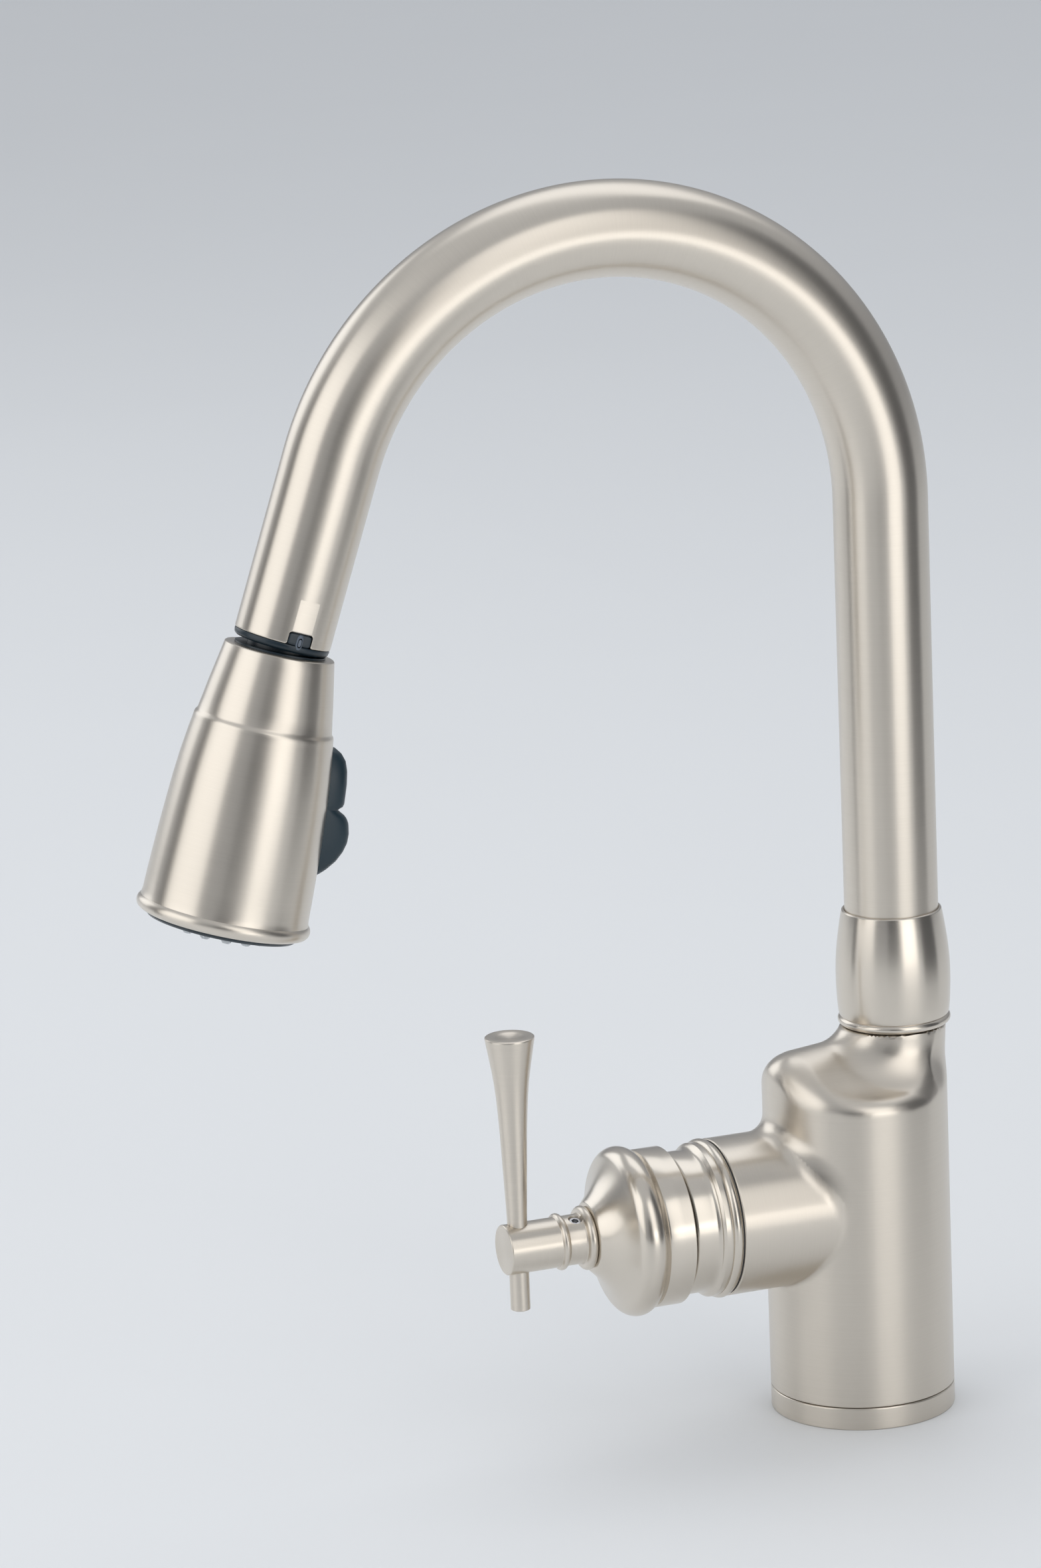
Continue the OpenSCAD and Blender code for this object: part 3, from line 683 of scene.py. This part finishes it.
hub_profile = rounded(
    [(4.05, 89.5), (5.5, 89.5), (5.5, 93.65)] + arc(8.9, 95.05, 1.4, -90, 90, 10) +
    [(8.15, 96.5, 0.3), (8.0, 97.0), (8.0, 102.3, 0.15)] + arc(8.0, 103.7, 1.1, -75, 75, 8) +
    [(8.05, 104.9, 0.2), (8.05, HUB_END, 0.45), (0, HUB_END)])
hub_inside = [(0, 102.3), (4.05, 102.3)]


def cut(obj, cutters):
    """Takes closed mesh parts out of obj, each (verts, faces, uvs) in obj's own mm frame."""
    for k, part in enumerate(cutters):
        mesh = bpy.data.meshes.new("cutter")
        mesh.from_pydata([tuple(p) for p in np.asarray(part[0]) * MM], [], [tuple(f) for f in part[1]])
        tool = bpy.data.objects.new("cutter", mesh)
        bpy.context.scene.collection.objects.link(tool)
        tool.matrix_world = obj.matrix_world
        mod = obj.modifiers.new("cut", "BOOLEAN")
        mod.operation, mod.solver, mod.object = "DIFFERENCE", "EXACT", tool
        bpy.context.view_layer.update()
        done = bpy.data.meshes.new_from_object(obj.evaluated_get(bpy.context.evaluated_depsgraph_get()))
        obj.modifiers.clear()
        obj.data = done
        bpy.data.objects.remove(tool)
        bpy.data.meshes.remove(mesh)
    obj.data.shade_smooth()
    obj.data.set_sharp_from_angle(angle=math.radians(32))


hub = lathe("handle_hub_turned", list(hub_inside) + list(hub_profile), VALVE, "handle", "nickel",
            NICKEL, ("handle_hub",), 128, False)
SCREW = (Matrix.Translation((0, 0, 98.7)) @ Matrix.Rotation(math.radians(-20), 4, "Z")
         @ Matrix.Rotation(-math.pi / 2, 4, "X"))
hole = turned([(0, -21), (3.2, -21), (3.2, 21), (0, 21)], 64)
screw_hole = turned([(0, 2), (2.0, 2), (2.0, 7.45), (2.35, 8.1), (2.35, 12), (0, 12)], 48)
cut(hub, [moved(hole, place((0, 0, LEVER_S), -math.pi / 2)),
          moved(screw_hole, SCREW)])



def hex_socket(r, s, a):
    """Moves the points of the screw's socket onto a hexagon."""
    side = 1.05 / np.cos((a % (math.pi / 3)) - math.pi / 6)
    return np.where((r > 1.1) & (r < 1.3), side, r), s


screw = turned([(0, 4.05), (1.6, 4.05), (1.95, 4.4), (1.95, 7.0), (1.75, 7.25), (1.2, 7.25),
                (1.2, 5.6), (0, 5.6)], 48, False, hex_socket)
add_mesh("hub_set_screw", *screw, VALVE @ SCREW, "handle", "steel", STEEL,
         ("set_screw",))

lever_side = [(3.15, -19.9), (3.15, 0), (3.15, 8), (3.30, 13), (3.5, 17.7), (3.66, 22), (3.86, 26.2),
              (4.08, 32), (4.33, 38), (4.66, 44), (5.05, 49.7), (5.52, 54.2), (6.1, 58.4), (6.85, 62.9),
              (7.82, 68.6)]
dish = [(r, 69.5 - 0.9 * (1 - (r / 4.6) ** 2)) for r in (4.6, 4.3, 3.7, 2.9, 2.0, 1.0, 0.0)]
lathe("cross_lever", [(0, -20.5), (1.8, -20.45), (2.6, -20.3), (2.98, -20.1)] + lever_side +
      [(7.86, 68.95), (7.8, 69.25), (7.55, 69.43), (7.1, 69.5)] + dish,
      place((0, -LEVER_S, VALVE_Z)), "handle", "nickel", NICKEL, ("lever",), 96)

# ---------------------------------------------------------------- spout
collar_foot = [(15.05, 126.2), (16.4, 126.0, 0.1)] + arc(16.65, 127.35, 1.45, -80, 62, 8)
collar_side = [(17.5, 129.0, 0.2), (17.75, 130.0), (18.0, 132.5), (18.2, 136), (18.33, 140),
               (18.33, 143), (18.2, 147), (17.95, 150), (17.62, 153), (17.2, 156), (16.75, 159),
               (16.3, 161.6)]
collar_top = [(15.95, 163.2, 0.3), (15.45, 163.6, 0.25), (15.05, 163.3)]
lathe("spout_collar", rounded(collar_foot + collar_side + collar_top), NECK, "spout", "nickel",
      FINE_NICKEL, ("collar",), 192, True, polish=0.15)


def path_point(s):
    """Centre and outward side of the spout at distance s (mm) from the tube's foot."""
    up = ARCH_Z - TUBE_FOOT
    if s <= up:
        return np.array([0, NECK_Y, TUBE_FOOT + s]), np.array([0, 1.0, 0])
    turn = (s - up) / ARCH_R
    if turn <= ARCH_TURN:
        n = np.array([0, math.cos(turn), math.sin(turn)])
        return np.array([0, ARCH_Y, ARCH_Z]) + ARCH_R * n, n
    n = np.array([0, math.cos(ARCH_TURN), math.sin(ARCH_TURN)])
    d = np.array([0, -math.sin(ARCH_TURN), math.cos(ARCH_TURN)])
    return np.array([0, ARCH_Y, ARCH_Z]) + ARCH_R * n + d * (s - up - ARCH_R * ARCH_TURN), n


TOTAL = (ARCH_Z - TUBE_FOOT) + ARCH_R * ARCH_TURN + DROP
TIP = 14.0


def make_tube():
    column = ARCH_Z - TUBE_FOOT
    stops = np.concatenate([np.linspace(0, column, 40),
                            np.linspace(column, TOTAL - DROP, 110)[1:],
                            np.linspace(TOTAL - DROP, TOTAL - TIP, 12)[1:]])
    frames = [path_point(s) for s in stops]
    centres = np.array([f[0] for f in frames])
    normals = [f[1] for f in frames]
    side = [np.array([1.0, 0, 0])] * len(stops)
    outer = sweep(centres, normals, side, TUBE_R, 128)
    inner = sweep(centres, normals, side, TUBE_IN, 128)
    # end of the tube, with a keyed notch on each side
    half, deep, inner_r, outer_r = 4.0, 4.0, 0.9, 0.7
    notch = [(half + outer_r * (1 - math.sin(a)), -outer_r * (1 - math.cos(a)))
             for a in np.linspace(0, math.pi / 2, 6)]
    notch += [(half - 0.01 - inner_r * (1 - math.cos(a)), -deep + inner_r * (1 - math.sin(a)))
              for a in np.linspace(0, math.pi / 2, 6)]
    right = [(x / TUBE_R, s) for x, s in notch[::-1]]
    quarter = right + [(a, 0.0) for a in np.linspace(right[-1][0], math.pi / 2, 14)[1:-1]]
    columns = []
    for base, sign in ((0, 1), (math.pi, -1), (math.pi, 1), (2 * math.pi, -1)):
        part = [(base + sign * a, s) for a, s in quarter]
        columns += part if sign > 0 else part[::-1]
        if base in (0, math.pi) and sign > 0:
            columns.append((base + math.pi / 2, 0.0))
    ang = np.array([c[0] for c in columns])
    stop = np.array([c[1] for c in columns])
    order = np.argsort(ang, kind="stable")
    ang, stop = ang[order], stop[order]
    verts, uvrow = [], []
    lip = [(TUBE_R, 1.0, -0.28), (14.93, 1.0, -0.09), (14.76, 1.0, 0.0), (14.0, 1.0, 0.0),
           (13.86, 1.0, -0.06), (TUBE_IN, 1.0, -0.22)]
    profile = ([(TUBE_R, f, 0.0) for f in np.linspace(0, 0.96, 12)] + lip
               + [(TUBE_IN, f, 0.0) for f in np.linspace(0.96, 0, 12)])
    for r, f, extra in profile:
        s = -TIP + f * (stop + TIP) + extra
        verts.append(np.stack([r * np.cos(ang), r * np.sin(ang), s], 1))
        uvrow.append(s)
    verts = np.concatenate(verts)
    count = len(ang)
    faces, uvs = [], []
    for i in range(len(profile) - 1):
        for k in range(count):
            n = (k + 1) % count
            faces.append([i * count + k, i * count + n, (i + 1) * count + n, (i + 1) * count + k])
            a0, a1 = ang[k], ang[n] + (2 * math.pi if n == 0 else 0)
            uvs += [(TUBE_R * a0, TOTAL + uvrow[i][k]), (TUBE_R * a1, TOTAL + uvrow[i][n]),
                    (TUBE_R * a1, TOTAL + uvrow[i + 1][n]), (TUBE_R * a0, TOTAL + uvrow[i + 1][k])]
    tip = moved((verts, faces, uvs), OUTLET)
    low, high = TUBE_FOOT, TUBE_FOOT + 0.01
    ring = turned([(TUBE_IN, low), (TUBE_R, low), (TUBE_R, high), (TUBE_IN, high)], 128, True)
    bore = (inner[0], [q[::-1] for q in inner[1]], flip_uv(inner))
    v, f, uv = join(outer, bore, tip, moved(ring, NECK))
    add_mesh("gooseneck_tube", v, f, uv, UP, "spout", "nickel", NICKEL, ("spout_tube",), None, 50)


make_tube()
lathe("dock_collar",
      rounded([(11.8, -15.9), (13.7, -15.9, 0.2), (13.7, 0.06, 0.05), (14.75, 0.1, 0.15), (14.9, 0.5),
               (14.7, 1.7, 0.8), (13.9, 2.3, 0.4), (12.3, 2.35, 0.2), (11.8, 1.9)]),
      OUTLET, "spout", "black_plastic", BLACK, ("dock_ring",), 128, True)


def pad(width, height, thick, power=6.0, crown=0.35, n=40):
    """A rounded block face: superellipse outline width x height, thick deep along +Z, edges rolled."""
    a = np.arange(n) * 2 * math.pi / n
    sx = np.sign(np.cos(a)) * np.abs(np.cos(a)) ** (2 / power) * width / 2
    sy = np.sign(np.sin(a)) * np.abs(np.sin(a)) ** (2 / power) * height / 2
    verts, faces, uvs = [], [], []
    levels = [(1.0, 0.0), (1.0, thick - crown)]
    levels += [(1 - crown / (width / 2) * (1 - math.cos(t)), thick - crown + crown * math.sin(t))
               for t in np.linspace(0.3, math.pi / 2, 4)]
    levels += [(f, thick) for f in (0.6, 0.25)]
    for f, z in levels:
        verts += [(x * f, y * f, z) for x, y in zip(sx, sy)]
    for i in range(len(levels) - 1):
        for k in range(n):
            m = (k + 1) % n
            faces.append([i * n + k, i * n + m, (i + 1) * n + m, (i + 1) * n + k])
    verts.append((0, 0, thick))
    verts.append((0, 0, 0))
    top, bottom = len(verts) - 2, len(verts) - 1
    for k in range(n):
        m = (k + 1) % n
        faces.append([(len(levels) - 1) * n + k, (len(levels) - 1) * n + m, top])
        faces.append([m, k, bottom])
    verts = np.array(verts, float)
    for f in faces:
        uvs += [(verts[i][0], verts[i][1]) for i in f]
    return verts, faces, uvs


def facing(x_sign):
    """Local +Z to +-X, local +Y kept along the outlet's axis."""
    return Matrix(((0, 0, x_sign, 0), (x_sign, 0, 0, 0), (0, 1, 0, 0), (0, 0, 0, 1)))


keys, ribs = [], []
for sign in (1, -1):
    at = Matrix.Translation((sign * 13.75, 0, -1.85)) @ facing(sign)
    keys.append(moved(pad(7.4, 3.6, 0.75), at))
    at = Matrix.Translation((sign * 14.0, 0, -1.1)) @ facing(sign)
    ribs.append(moved(pad(2.2, 5.0, 1.05, 2.6, 0.6), at))
add_mesh("dock_key_blocks", *join(*keys), OUTLET, "spout", "black_plastic", BLACK, ("dock_keys",))
# The ribs take the lighter plastic above: a painted highlight on the black keys.
add_mesh("dock_key_ribs", *join(*ribs), OUTLET, "spout", "black_plastic", RIB_PAINTED_HIGHLIGHT)

# ---------------------------------------------------------------- spray head
shell_side = [(17.1, 4.4), (17.55, 6.8), (18.35, 11.2), (19.35, 16.6), (20.2, 21.8), (20.85, 25.6),
              (21.1, 26.3), (21.5, 26.75), (21.72, 27.4), (21.8, 28.2), (22.0, 29.6), (22.5, 33),
              (23.4, 40), (24.05, 47), (24.6, 55), (25.05, 62.5), (25.4, 70), (25.7, 77.5),
              (25.88, 83.6), (26.0, 84.6)]
shell_top = [(13.6, 4.6), (13.6, 4.05), (13.8, 3.85), (14.2, 3.8), (16.35, 3.8), (16.75, 3.9),
             (17.02, 4.12)]
shell_inside = [(24.6, 89.9), (24.35, 89.6), (24.3, 88), (24.3, 84), (23.1, 55), (20.4, 28),
                (19.4, 26), (15.2, 5.4), (13.8, 5.4)]
shell = lathe("spray_shell", shell_top + shell_side + arc(24.7, 87.3, 2.4, -52, 84, 15) + shell_inside,
              HEAD, "spray_head", "nickel", NICKEL, ("head_shell",), 192, True)


def slot_block(width, low, high, near, far, power=8.0, n=64):
    """A rounded rectangular bar along local -Y, from y -near to -far, centred between low and high."""
    a = np.arange(n) * 2 * math.pi / n
    x = np.sign(np.cos(a)) * np.abs(np.cos(a)) ** (2 / power) * width / 2
    z = (low + high) / 2 + np.sign(np.sin(a)) * np.abs(np.sin(a)) ** (2 / power) * (high - low) / 2
    verts = [(p, -near, q) for p, q in zip(x, z)] + [(p, -far, q) for p, q in zip(x, z)]
    faces = [[k, (k + 1) % n, n + (k + 1) % n, n + k] for k in range(n)]
    faces += [list(range(n))[::-1], list(range(n, 2 * n))]
    uvs = [(0, 0)] * sum(len(f) for f in faces)
    faces, uvs = outward(verts, faces, uvs)
    return np.array(verts, float), faces, uvs


cut(shell, [slot_block(14.8, 30, 72, 10, 40)])


def rocker_pad(low, high, tops, half, power):
    """A pad with a superellipse outline and rolled edges, whose height over the head's axis
    comes from tops [(s, radius)]."""
    mid, reach = (low + high) / 2, (high - low) / 2
    span = mid + reach * np.sin(np.linspace(-1.55, 1.55, 90))
    span = np.unique(np.concatenate([span, np.linspace(47.4, 49.4, 21)]))
    across = np.sin(np.linspace(-math.pi / 2, math.pi / 2, 45))
    floor = 19.6
    rise = (1 - np.abs(across) ** 4) ** (1 / 4)
    verts, n = [], len(across)
    for s in span:
        x = across * half * (1 - abs((s - mid) / reach) ** power) ** (1 / power)
        top = np.sqrt(np.interp(s, *zip(*tops)) ** 2 - (x * 0.9) ** 2)
        verts += [(p, -q, s) for p, q in zip(x, floor + (top - floor) * rise)]
    faces = [[i * n + k, i * n + (k + 1) % n, (i + 1) * n + (k + 1) % n, (i + 1) * n + k]
             for i in range(len(span) - 1) for k in range(n)]
    faces += [list(range(n))[::-1], list(range((len(span) - 1) * n, len(span) * n))]
    verts = np.array(verts)
    return verts, *outward(verts, faces, [(verts[i][0], verts[i][2]) for f in faces for i in f])


upper_tops = [(30.8, 24.2), (32, 26.2), (34, 27.9), (37, 29.0), (41, 29.7), (47.0, 30.2)]
crease = [(48.0, 29.9), (48.7, 28.9), (49.2, 28.6), (49.7, 29.3), (50.4, 30.8)]
lower_tops = [(51.5, 32.1), (53, 33.0), (56, 33.8), (59, 33.9), (62, 33.1), (65, 31.6), (68, 29.2),
              (71, 26.2)]
both = rocker_pad(30.8, 71.0, upper_tops + crease + lower_tops, 6.95, 3.4)
web = slot_block(11.6, 33, 69, 18.4, 21.0)
hinge = moved(turned([(1.3, -6), (2.9, -6), (2.9, 6), (1.3, 6)], 48, True),
              Matrix.Translation((0, -18.2, 48.3)) @ Matrix.Rotation(math.pi / 2, 4, "Y"))
add_mesh("mode_button", *join(both, web, hinge), HEAD, "rocker", "button_plastic", BUTTON, ("rocker",),
         sharp=50)

FACE = HEAD @ Matrix.Translation((0, 0, 86.3))
lathe("spray_plate",
      rounded([(9.02, 0.1), (24.1, 0.1, 0.1), (24.1, 3.2, 0.1), (23.7, 3.4, 0.2), (23.6, 4.2, 0.3),
               (22.9, 4.9, 0.5), (20.6, 4.6, 0.6), (20.2, 3.9, 0.5), (10.6, 3.9, 0.5),
               (10.2, 4.7, 0.4), (9.02, 4.7, 0.2)]),
      FACE, "spray_head", "black_plastic", BLACK, ("spray_face",), 160, True)

nub = turned(rounded([(0, 2.2), (1.3, 2.2), (1.9, 5.3, 0.2), (1.6, 6.8, 0.5), (0.75, 7.65, 0.4),
                      (0.6, 6.5), (0, 6.5)]), 24)
# radius, how far the nozzles sit back, and their angles for each ring
nub_rings = ((17.5, -2.0, range(0, 360, 20)), (12.8, 0, range(10, 360, 30)))
nubs = [moved(nub, Matrix.Rotation(math.radians(a), 4, "Z") @ Matrix.Translation((r, 0, sink)))
        for r, sink, angles in nub_rings for a in angles]
skirt = turned(rounded([(11.0, 3.8), (19.8, 3.8, 0.1), (19.8, 4.35, 0.3), (11.0, 4.35, 0.3)]), 128,
               True)
add_mesh("spray_nozzles", *join(skirt, *nubs), FACE, "spray_head", "clear_rubber", SILICONE,
         ("spray_nipples",))


def mesh_disc(radius, low, high, pitch, hole, seg=8):
    """A round screen: square cells with round holes, both faces and the holes' walls."""
    verts, faces = [], []
    n = int(radius / pitch)
    for i in range(-n, n + 1):
        for j in range(-n, n + 1):
            cx, cy = i * pitch, j * pitch
            if math.hypot(abs(cx) + pitch / 2, abs(cy) + pitch / 2) > radius:
                continue
            at = len(verts)
            ring = []
            for k in range(seg):
                t = math.pi / 4 + k * 2 * math.pi / seg
                c, s = math.cos(t), math.sin(t)
                big = pitch / 2 / max(abs(c), abs(s))
                ring.append(((cx + big * c, cy + big * s), (cx + hole * c, cy + hole * s)))
            for z in (high, low):
                verts += [(*o, z) for o, _ in ring] + [(*q, z) for _, q in ring]
            for k in range(seg):
                m = (k + 1) % seg
                faces.append([at + k, at + m, at + seg + m, at + seg + k])
                faces.append([at + seg + k, at + seg + m, at + 3 * seg + m, at + 3 * seg + k])
                faces.append([at + 2 * seg + m, at + 2 * seg + k, at + 3 * seg + k, at + 3 * seg + m])
    verts = np.array(verts, float)
    uvs = [(verts[i][0], verts[i][1]) for f in faces for i in f]
    return verts, faces, uvs


rim = turned(rounded([(7.4, 0.2), (8.9, 0.2, 0.1), (8.9, 4.9, 0.4), (7.6, 4.9, 0.4), (7.4, 2.2)]), 96,
             True)
cup = turned([(0, 0.2), (7.5, 0.2), (7.5, 0.9), (0, 0.9)], 96)
screen = mesh_disc(7.5, 1.7, 2.3, 1.1, 0.36)
screen_edge = turned([(6.4, 1.7), (7.5, 1.7), (7.5, 2.3), (6.4, 2.3)], 96, True)
add_mesh("aerator_insert", *join(rim, cup, screen, screen_edge), FACE, "spray_head", "steel", STEEL,
         ("aerator",))

# ---------------------------------------------------------------- hose
OUT_Y, OUT_Z = NECK_Y - END.y, ARCH_Z - END.z
HOSE_BEND = (OUT_Y * math.cos(HEAD_TURN) + OUT_Z * math.sin(HEAD_TURN)) / (math.cos(HEAD_TURN) - 1)
HOSE_DROP = -(OUT_Z + HOSE_BEND * math.sin(HEAD_TURN)) / math.cos(HEAD_TURN)


def hose_part(name, centres, body=None, lengths=None, along=0.0):
    """A round braided length. lengths, if given, are the distances that the weave is laid out by."""
    centres = np.array(centres, float)
    step = np.gradient(centres, axis=0)
    step /= np.linalg.norm(step, axis=1, keepdims=True)
    side = [np.array([1.0, 0, 0])] * len(centres)
    normals = [np.cross(t, np.array([1.0, 0, 0])) for t in step]
    radius = np.full(len(centres), HOSE_R)
    n = 48
    v, f, uv = sweep(centres, side, normals, radius, n, along, lengths)
    f = list(f) + [list(range(n))[::-1], list(range((len(centres) - 1) * n, len(centres) * n))]
    uv = list(uv) + [(0, 0)] * (2 * n)
    f, uv = outward(v, f, uv)
    return add_mesh(name, v, f, uv, UP, body, "hose", HOSE)


low_part = [(0, hose_y(z), z) for z in np.linspace(SHANK_LOW, 101.5, 90)]
hose_part("hose_in_body", low_part, "tap_body")
arch = [(0, NECK_Y, z) for z in np.linspace(101.7, ARCH_Z, 24)]
arch += [(0, NECK_Y - HOSE_BEND + HOSE_BEND * math.cos(t), ARCH_Z + HOSE_BEND * math.sin(t))
         for t in np.linspace(0, HEAD_TURN, 90)[1:]]
hose_part("hose_in_spout", arch, "spout", along=101.7)

HEAD_DIR = np.array([0, -math.sin(HEAD_TURN), math.cos(HEAD_TURN)])
PULL = 180.0
reach = np.linspace(-HOSE_DROP, -11.9, 90)
share = ramp(reach, -HOSE_DROP + 1, -13)
pulled = hose_part("hose_pulled_out", [np.array(END) + HEAD_DIR * s for s in reach],
                   lengths=reach + HOSE_DROP + share * PULL + 400)
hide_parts("spray_hose")
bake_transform(pulled)


# ---------------------------------------------------------------- stage, lights and camera
MIDDLE = (0, -0.08, 0.2)
CAM_AZIMUTH = 66.2  # degrees from the front, -Y, towards +X


def aim(obj, at, look):
    obj.matrix_world = (Matrix.Translation(Vector(at))
                        @ (Vector(look) - Vector(at)).to_track_quat("-Z", "Y").to_matrix().to_4x4())
    return obj


def plain(name, colour, rough):
    s = Shader(name)
    at = s.node("TexCoord").outputs["Object"]
    cloud = s.noise(at, 6.0, 2.0)
    low = tuple(0.985 * c for c in colour)
    return s.finish(Base_Color=s.tint(cloud, low, colour), Roughness=rough)


def sheet_of(name, corners, mat):
    mesh = bpy.data.meshes.new(name)
    mesh.from_pydata(corners, [], [list(range(len(corners)))])
    mesh.materials.append(mat)
    obj = bpy.data.objects.new(name, mesh)
    bpy.context.scene.collection.objects.link(obj)
    return obj


def from_camera(turn, rise, distance):
    """A point at turn degrees to the right of the camera and rise degrees above the horizon."""
    a, e = math.radians(CAM_AZIMUTH + turn), math.radians(rise)
    back = Vector((math.sin(a) * math.cos(e), -math.cos(a) * math.cos(e), math.sin(e)))
    return Vector(MIDDLE) + back * distance


def lamp(name, turn, rise, distance, width, height, radiance, colour=(1, 1, 1), in_gloss=True):
    data = bpy.data.lights.new(name, "AREA")
    data.shape, data.size, data.size_y = "RECTANGLE", width, height
    data.energy, data.color = radiance * math.pi * width * height, colour
    obj = bpy.data.objects.new(name, data)
    bpy.context.scene.collection.objects.link(obj)
    obj.visible_camera = False
    obj.visible_glossy = in_gloss
    return aim(obj, from_camera(turn, rise, distance), MIDDLE)


sheet_of("floor", [(-15, -15, 0), (15, -15, 0), (15, 15, 0), (-15, 15, 0)],
         plain("pale_floor", (0.70, 0.715, 0.73), 0.5))
lamp("left", -64, 22, 1.6, 1.7, 1.5, 1.1, (1.0, 0.99, 0.97))
lamp("right", 36, 26, 1.7, 1.0, 1.5, 1.1, (1.0, 0.98, 0.95))
lamp("right_low", 40, -2, 1.3, 0.75, 0.34, 1.5, (1.0, 0.98, 0.95))
lamp("over_back", 165, 60, 1.7, 1.5, 1.0, 0.8, (0.97, 0.98, 1.0))
lamp("back_left", -128, 20, 2.2, 1.3, 1.4, 1.1, (0.96, 0.98, 1.0))
lamp("wash", 0, 89, 3.2, 6.0, 6.0, 0.50, (1, 1, 1), False)
lamp("far_wash", 180, 35, 6.0, 8.0, 5.0, 0.35, (0.97, 0.985, 1.0), False)


def card(name, turn, distance, width, low, high):
    """A dark card seen only in reflections, which gives the metal its darker bands."""
    a = math.radians(CAM_AZIMUTH + turn)
    back = Vector((math.sin(a), -math.cos(a), 0))
    side = Vector((math.cos(a), math.sin(a), 0)) * width / 2
    foot = Vector((MIDDLE[0], MIDDLE[1], 0)) + back * distance
    corners = [foot - side + Vector((0, 0, low)), foot + side + Vector((0, 0, low)),
               foot + side + Vector((0, 0, high)), foot - side + Vector((0, 0, high))]
    obj = sheet_of(name, [tuple(c) for c in corners], DARK)
    obj.visible_camera = obj.visible_diffuse = obj.visible_shadow = False


DARK = plain("dark_card", (0.09, 0.092, 0.098), 0.9)
card("card_front", 4, 2.4, 0.95, 0.0, 1.3)
card("card_right", 86, 0.7, 0.40, 0.0, 0.9)
card("card_left", -88, 0.7, 0.14, 0.0, 0.9)

CAM_AT = Vector((1.79026, -0.790317, 0.685986))
CAM_TURN = (Matrix.Rotation(1.2077, 4, "Z") @ Matrix.Rotation(math.pi / 2 - 0.2389, 4, "X")
            @ Matrix.Rotation(-0.0409, 4, "Z"))
world = bpy.data.worlds.new("studio")
bpy.context.scene.world = world
world.use_nodes = True
tree = world.node_tree
coord = tree.nodes.new("ShaderNodeTexCoord")
split = tree.nodes.new("ShaderNodeSeparateXYZ")
sky = tree.nodes.new("ShaderNodeValToRGB")
tree.links.new(coord.outputs["Generated"], split.inputs[0])
tree.links.new(split.outputs[2], sky.inputs[0])
tree.links.new(sky.outputs[0], tree.nodes["Background"].inputs["Color"])
sky.color_ramp.elements[0].color = (0.26, 0.27, 0.29, 1)
sky.color_ramp.elements[1].color = (0.62, 0.64, 0.67, 1)

camera = bpy.data.objects.new("camera", bpy.data.cameras.new("camera"))
bpy.context.scene.collection.objects.link(camera)
camera.data.sensor_width = 36
camera.data.lens = 145.9
camera.data.clip_end = 50
camera.matrix_world = Matrix.Translation(CAM_AT) @ CAM_TURN
bpy.context.scene.camera = camera
bpy.context.scene.view_settings.view_transform = "Standard"
